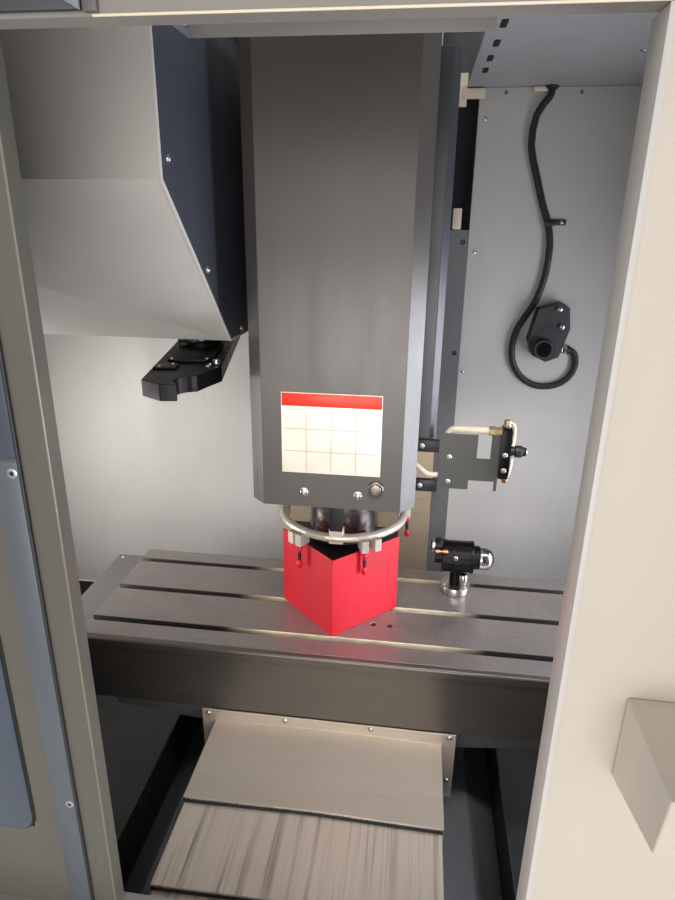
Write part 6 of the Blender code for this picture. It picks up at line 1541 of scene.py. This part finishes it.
@dataclass
class PendantDress:
    """The operator's control box: screen, keys, lamp row, wheel dial and button collar."""

    keys_across: int = 5
    keys_down: int = 7

    def build(self) -> None:
        """Fits every piece of the control box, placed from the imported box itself."""
        low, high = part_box("pendant")
        face = DATUM.y - 0.865
        piece = Workpiece("pendant_panel")
        left, top = low.x + 0.018, high.z - 0.018
        piece.bar(Vector((left, face - 0.0022, top - 0.215)), Vector((left + 0.245, face + 0.0002, top)),
                KEY_DARK, 0.003, 3)
        piece.bar(Vector((left + 0.016, face - 0.0028, top - 0.200)),
                Vector((left + 0.229, face - 0.0015, top - 0.015)), SCREEN, 0.0008)
        for row in range(self.keys_down):
            for column in range(self.keys_across):
                x, z = left + 0.254 + 0.0185 * column, top - 0.010 - 0.0205 * row
                tone = KEY_DARK if (row + column) % 4 == 0 else KEY_GREY
                piece.bar(Vector((x, face - 0.0032, z - 0.014)), Vector((x + 0.014, face + 0.0002, z)),
                        tone, 0.0014)
        for number in range(9):
            x = left + 0.006 + 0.0265 * number
            piece.bar(Vector((x, face - 0.0030, top - 0.240)),
                    Vector((x + 0.021, face + 0.0002, top - 0.224)),
                    KEY_GREY if number % 3 else COLLAR_YELLOW, 0.0014)
        for row in range(3):
            for column in range(4):
                x, z = left + 0.262 + 0.022 * column, top - 0.172 - 0.024 * row
                piece.bar(Vector((x, face - 0.0032, z - 0.017)), Vector((x + 0.017, face + 0.0002, z)),
                        KEY_GREY if column else STOP_RED, 0.0016)
        wheel_low, wheel_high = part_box("jog_wheel")
        wheel = Vector(((wheel_low.x + wheel_high.x) / 2, face, (wheel_low.z + wheel_high.z) / 2))
        piece.turned([(35.2, 0), (43, 0), (43, 1.0), (41.5, 1.6), (35.2, 1.6), (35.2, 0)], wheel, OUT,
                SATIN_STEEL, 60)
        for tick in range(20):
            angle = math.tau * tick / 20
            spot = wheel + Vector((0.0392 * math.cos(angle), -0.0016, 0.0392 * math.sin(angle)))
            piece.turned([(0, 0.3), (1.0, 0.3), (1.0, -0.2), (0, -0.2)], spot, OUT, SHADE_AND_MARK_BLACK, 8)
        stop_low, stop_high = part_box("stop_button")
        stop = Vector(((stop_low.x + stop_high.x) / 2, face, (stop_low.z + stop_high.z) / 2))
        piece.turned([(12.4, 0), (28, 0), (28, 1.6), (26.5, 2.4), (22.5, 2.4), (21.6, 0.4), (12.4, 0.4),
                (12.4, 0)], stop, OUT, COLLAR_YELLOW, 48)
        for x in (low.x + 0.010, high.x - 0.010):
            for z in (low.z + 0.010, high.z - 0.008):
                piece.screw(Vector((x + (0.006 if x < wheel.x else -0.006), face, z)), OUT, 2.6,
                        SCREW_STEEL, 12)
        for number in range(10):
            z = low.z + 0.060 + 0.030 * number
            piece.bar(Vector((low.x + 0.07, high.y - 0.0004, z)),
                    Vector((high.x - 0.07, high.y + 0.0016, z + 0.006)), KEY_DARK, 0.0008)
        piece.place("control_box")
        knob = Workpiece("wheel_knob")
        front = wheel_low.y
        spot = Vector((wheel.x + 0.019, front + 0.0004, wheel.z + 0.012))
        knob.turned([(0, 0), (5.8, 0), (6.2, 1), (4.6, 3), (5.4, 7), (6.8, 11), (6.2, 14), (3.2, 16),
                (0, 16.4)], spot, OUT, BLACK_PLASTIC, 24)
        knob.turned([(0, 0), (10, 0), (10.4, 0.4), (9.4, 1.6), (0, 1.8)],
                Vector((wheel.x, front + 0.0004, wheel.z)), OUT, SATIN_STEEL, 32)
        knob.place("hand_wheel")
        cap = Workpiece("stop_cap")
        cap.turned([(0, 3.6), (6, 3.4), (12, 2.4), (17, 0.4), (19.2, -2.0), (19.2, -2.6), (0, -2.6)],
                Vector((stop.x, stop_low.y + 0.0004, stop.z)), OUT, STOP_RED, 40)
        cap.place("emergency_stop")


@dataclass
class OutsideDress:
    """Louvres, hinges, handles, seams and motor fittings on the outside of the machine."""

    louvres: int = 14

    def louvre_field(self, piece: Workpiece, corner: Vector, wide: Vector, step: float,
            out: Vector) -> None:
        """Adds a field of pressed louvres.

        Args:
            piece: the piece that they belong to.
            corner: the lower corner of the field, on the sheet.
            wide: the vector along one louvre.
            step: distance between louvres.
            out: direction out of the sheet, as long as a louvre stands proud.
        """
        for number in range(self.louvres):
            foot = corner + UP * (step * number)
            far = foot + wide + out + UP * (step * 0.45)
            low = Vector([min(a, b) for a, b in zip(foot - out * 0.1, far)])
            high = Vector([max(a, b) for a, b in zip(foot - out * 0.1, far)])
            piece.bar(low, high, STILE_GREY, 0.0018)

    def cabinet(self) -> None:
        """Fits the cabinet's door furniture, vents and roof fan."""
        low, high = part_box("cabinet_door")
        back = high.y
        piece = Workpiece("cabinet_door_fittings")
        self.louvre_field(piece, Vector((low.x + 0.12, back, low.z + 0.10)), Vector((0.30, 0, 0)), 0.022,
                Vector((0, 0.004, 0)))
        self.louvre_field(piece, Vector((low.x + 0.12, back, high.z - 0.42)), Vector((0.30, 0, 0)), 0.022,
                Vector((0, 0.004, 0)))
        handle = Vector((high.x - 0.06, back, (low.z + high.z) / 2))
        piece.bar(handle + Vector((-0.016, -0.0004, -0.08)), handle + Vector((0.016, 0.004, 0.08)),
                KEY_DARK, 0.003)
        piece.bar(handle + Vector((-0.010, 0.002, -0.065)), handle + Vector((0.010, 0.0075, 0.03)),
                SATIN_STEEL, 0.003)
        switch = Vector((high.x - 0.16, back, high.z - 0.28))
        piece.bar(switch + Vector((-0.045, -0.0004, -0.045)), switch + Vector((0.045, 0.003, 0.045)),
                COLLAR_YELLOW, 0.003)
        piece.turned([(0, 0), (26, 0), (26, 3.5), (24, 5.0), (0, 5.4)], switch + Vector((0, 0.002, 0)),
                Vector((0, 1, 0)), STOP_RED, 36)
        piece.place("door_cabinet")
        box_low, box_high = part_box("electrical_cabinet")
        body = Workpiece("cabinet_fittings")
        for z in (box_low.z + 0.18, (box_low.z + box_high.z) / 2, box_high.z - 0.18):
            body.turned([(0, 0), (7, 0), (8, 1), (8, 89), (7, 90), (0, 90)],
                    Vector((box_low.x - 0.004, box_high.y - 0.012, z - 0.045)), UP, SATIN_STEEL, 20)
            body.bar(Vector((box_low.x - 0.006, box_high.y - 0.05, z - 0.03)),
                    Vector((box_low.x + 0.0004, box_high.y - 0.012, z + 0.03)), SATIN_STEEL, 0.001)
        for side, x in ((1, box_high.x), (-1, box_low.x)):
            self.louvre_field(body, Vector((x, box_low.y + 0.05, box_low.z + 0.12)), Vector((0, 0.17, 0)),
                    0.022, Vector((side * 0.006, 0, 0)))
        for x in (box_low.x + 0.05, box_high.x - 0.05):
            body.turned([(13, 0), (13, 4), (9, 12), (6, 14), (0, 14.5), (0, 0), (13, 0)],
                    Vector((x, (box_low.y + box_high.y) / 2, box_high.z)), UP, SATIN_STEEL, 24)
        body.place("machine")

    def walls(self) -> None:
        """Fits the side walls' seams, their screws and a vent on each side."""
        for name, side in (("left_wall", -1), ("right_wall", 1)):
            low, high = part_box(name)
            face = high.x if side > 0 else low.x
            piece = Workpiece(f"{name}_fittings")
            inset = face + side * 0.0004
            for y in (low.y + (high.y - low.y) * share for share in (0.335, 0.668)):
                piece.bar(Vector((min(face - side * 0.001, inset), y - 0.0025, low.z + 0.01)),
                        Vector((max(face - side * 0.001, inset), y + 0.0025, high.z - 0.01)), SHADE_AND_MARK_BLACK,
                        0.0002, 1)
            for share in (0.03, 0.30, 0.365, 0.635, 0.70, 0.97):
                for z in (low.z + 0.04, (low.z + high.z) / 2, high.z - 0.04):
                    piece.screw(Vector((face, low.y + (high.y - low.y) * share, z)), RIGHT * side, 5.4,
                            SCREW_STEEL, 12)
            self.louvre_field(piece, Vector((face, low.y + 0.80, low.z + 0.35)), Vector((0, 0.22, 0)),
                    0.024, Vector((side * 0.005, 0, 0)))
            piece.place("machine")

    def front_apron(self) -> None:
        """Fits the apron's screws and kick plate."""
        low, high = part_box("front_frame")
        face = low.y
        sill = DATUM.at(0, 0, -160).z
        piece = Workpiece("apron_fittings")
        piece.bar(Vector((low.x + 0.04, face - 0.002, low.z + 0.01)),
                Vector((high.x - 0.04, face + 0.0004, low.z + 0.12)), PAN_PAINT_AND_SHADE, 0.0015)
        for x in (low.x + 0.05, low.x + 0.50, 0.02, high.x - 0.50, high.x - 0.05):
            for z in (low.z + 0.16, sill - 0.05):
                piece.screw(Vector((x, face, z)), OUT, 5.4, SCREW_STEEL, 12)
        for x in (low.x + 0.04, low.x + 0.47):
            for z in (sill + 0.06, sill + 0.60, sill + 1.05):
                piece.screw(Vector((x, face, z)), OUT, 5.4, SCREW_STEEL, 12)
        piece.place("machine")

    def drives(self) -> None:
        """Fits the Z drive's flange bolts, cap and connectors, and the spindle motor's fan."""
        low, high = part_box("z_servo_motor")
        middle = (low + high) / 2
        piece = Workpiece("drive_fittings")
        for dx in (-1, 1):
            for dy in (-1, 1):
                piece.screw(Vector((middle.x + dx * 0.052, middle.y + dy * 0.052, high.z)) - UP * 0.0002,
                        UP, 5.0, SCREW_STEEL, 12)
        piece.bar(Vector((low.x - 0.004, low.y - 0.004, low.z + 0.0)),
                Vector((high.x + 0.004, high.y + 0.004, low.z + 0.014)), CASTING_GREY, 0.002)
        piece.bar(Vector((low.x + 0.01, low.y - 0.0015, high.z - 0.075)),
                Vector((high.x - 0.01, high.y + 0.0015, high.z - 0.010)), STOP_RED, 0.002)
        for z in (middle.z + 0.004, middle.z - 0.05):
            piece.turned([(0, 0), (14, 0), (14, 14), (12, 16), (12, 26), (9, 30), (0, 30)],
                    Vector((high.x - 0.0004, middle.y, z)), RIGHT, SATIN_STEEL, 24)
        piece.place("machine")
        motor_low, motor_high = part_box("spindle_motor")
        centre = (motor_low + motor_high) / 2
        fan = Workpiece("motor_fan")
        top = motor_high.z
        fan.turned([(0, 0), (80, 0), (80, 5), (74, 7), (70, 7), (70, 4), (22, 4), (20, 7), (0, 7)],
                Vector((centre.x, centre.y, top)), UP, KEY_DARK, 48)
        for spoke in range(12):
            angle = math.tau * spoke / 12
            way = Vector((math.cos(angle), math.sin(angle), 0))
            near, far = Vector((centre.x, centre.y, top + 0.0055)) + way * 0.018, Vector((centre.x,
                    centre.y, top + 0.0055)) + way * 0.072
            fan.tube([near, (near + far) / 2, far], 0.0016, SATIN_STEEL, 2)
        fan.place("head")

    def build(self) -> None:
        """Fits every piece of the outside."""
        self.cabinet()
        self.walls()
        self.front_apron()
        self.drives()



def main() -> None:
    """Builds the looks, one sub-assembly after another."""
    logging.basicConfig(level=logging.INFO, format="%(name)s %(message)s")
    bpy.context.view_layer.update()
    Studio().build()
    Coating().apply()
    HeadDress().build()
    AirLineDress().build()
    ChangerDress().build()
    TableDress().build()
    CoverDress().build()
    DoorDress("left", "door_left", -249.0, -1).build()
    DoorDress("right", "door_right", 318.0, 1).build()
    FrameDress().build()
    PendantDress().build()
    OutsideDress().build()


if __name__ == "__main__":
    main()
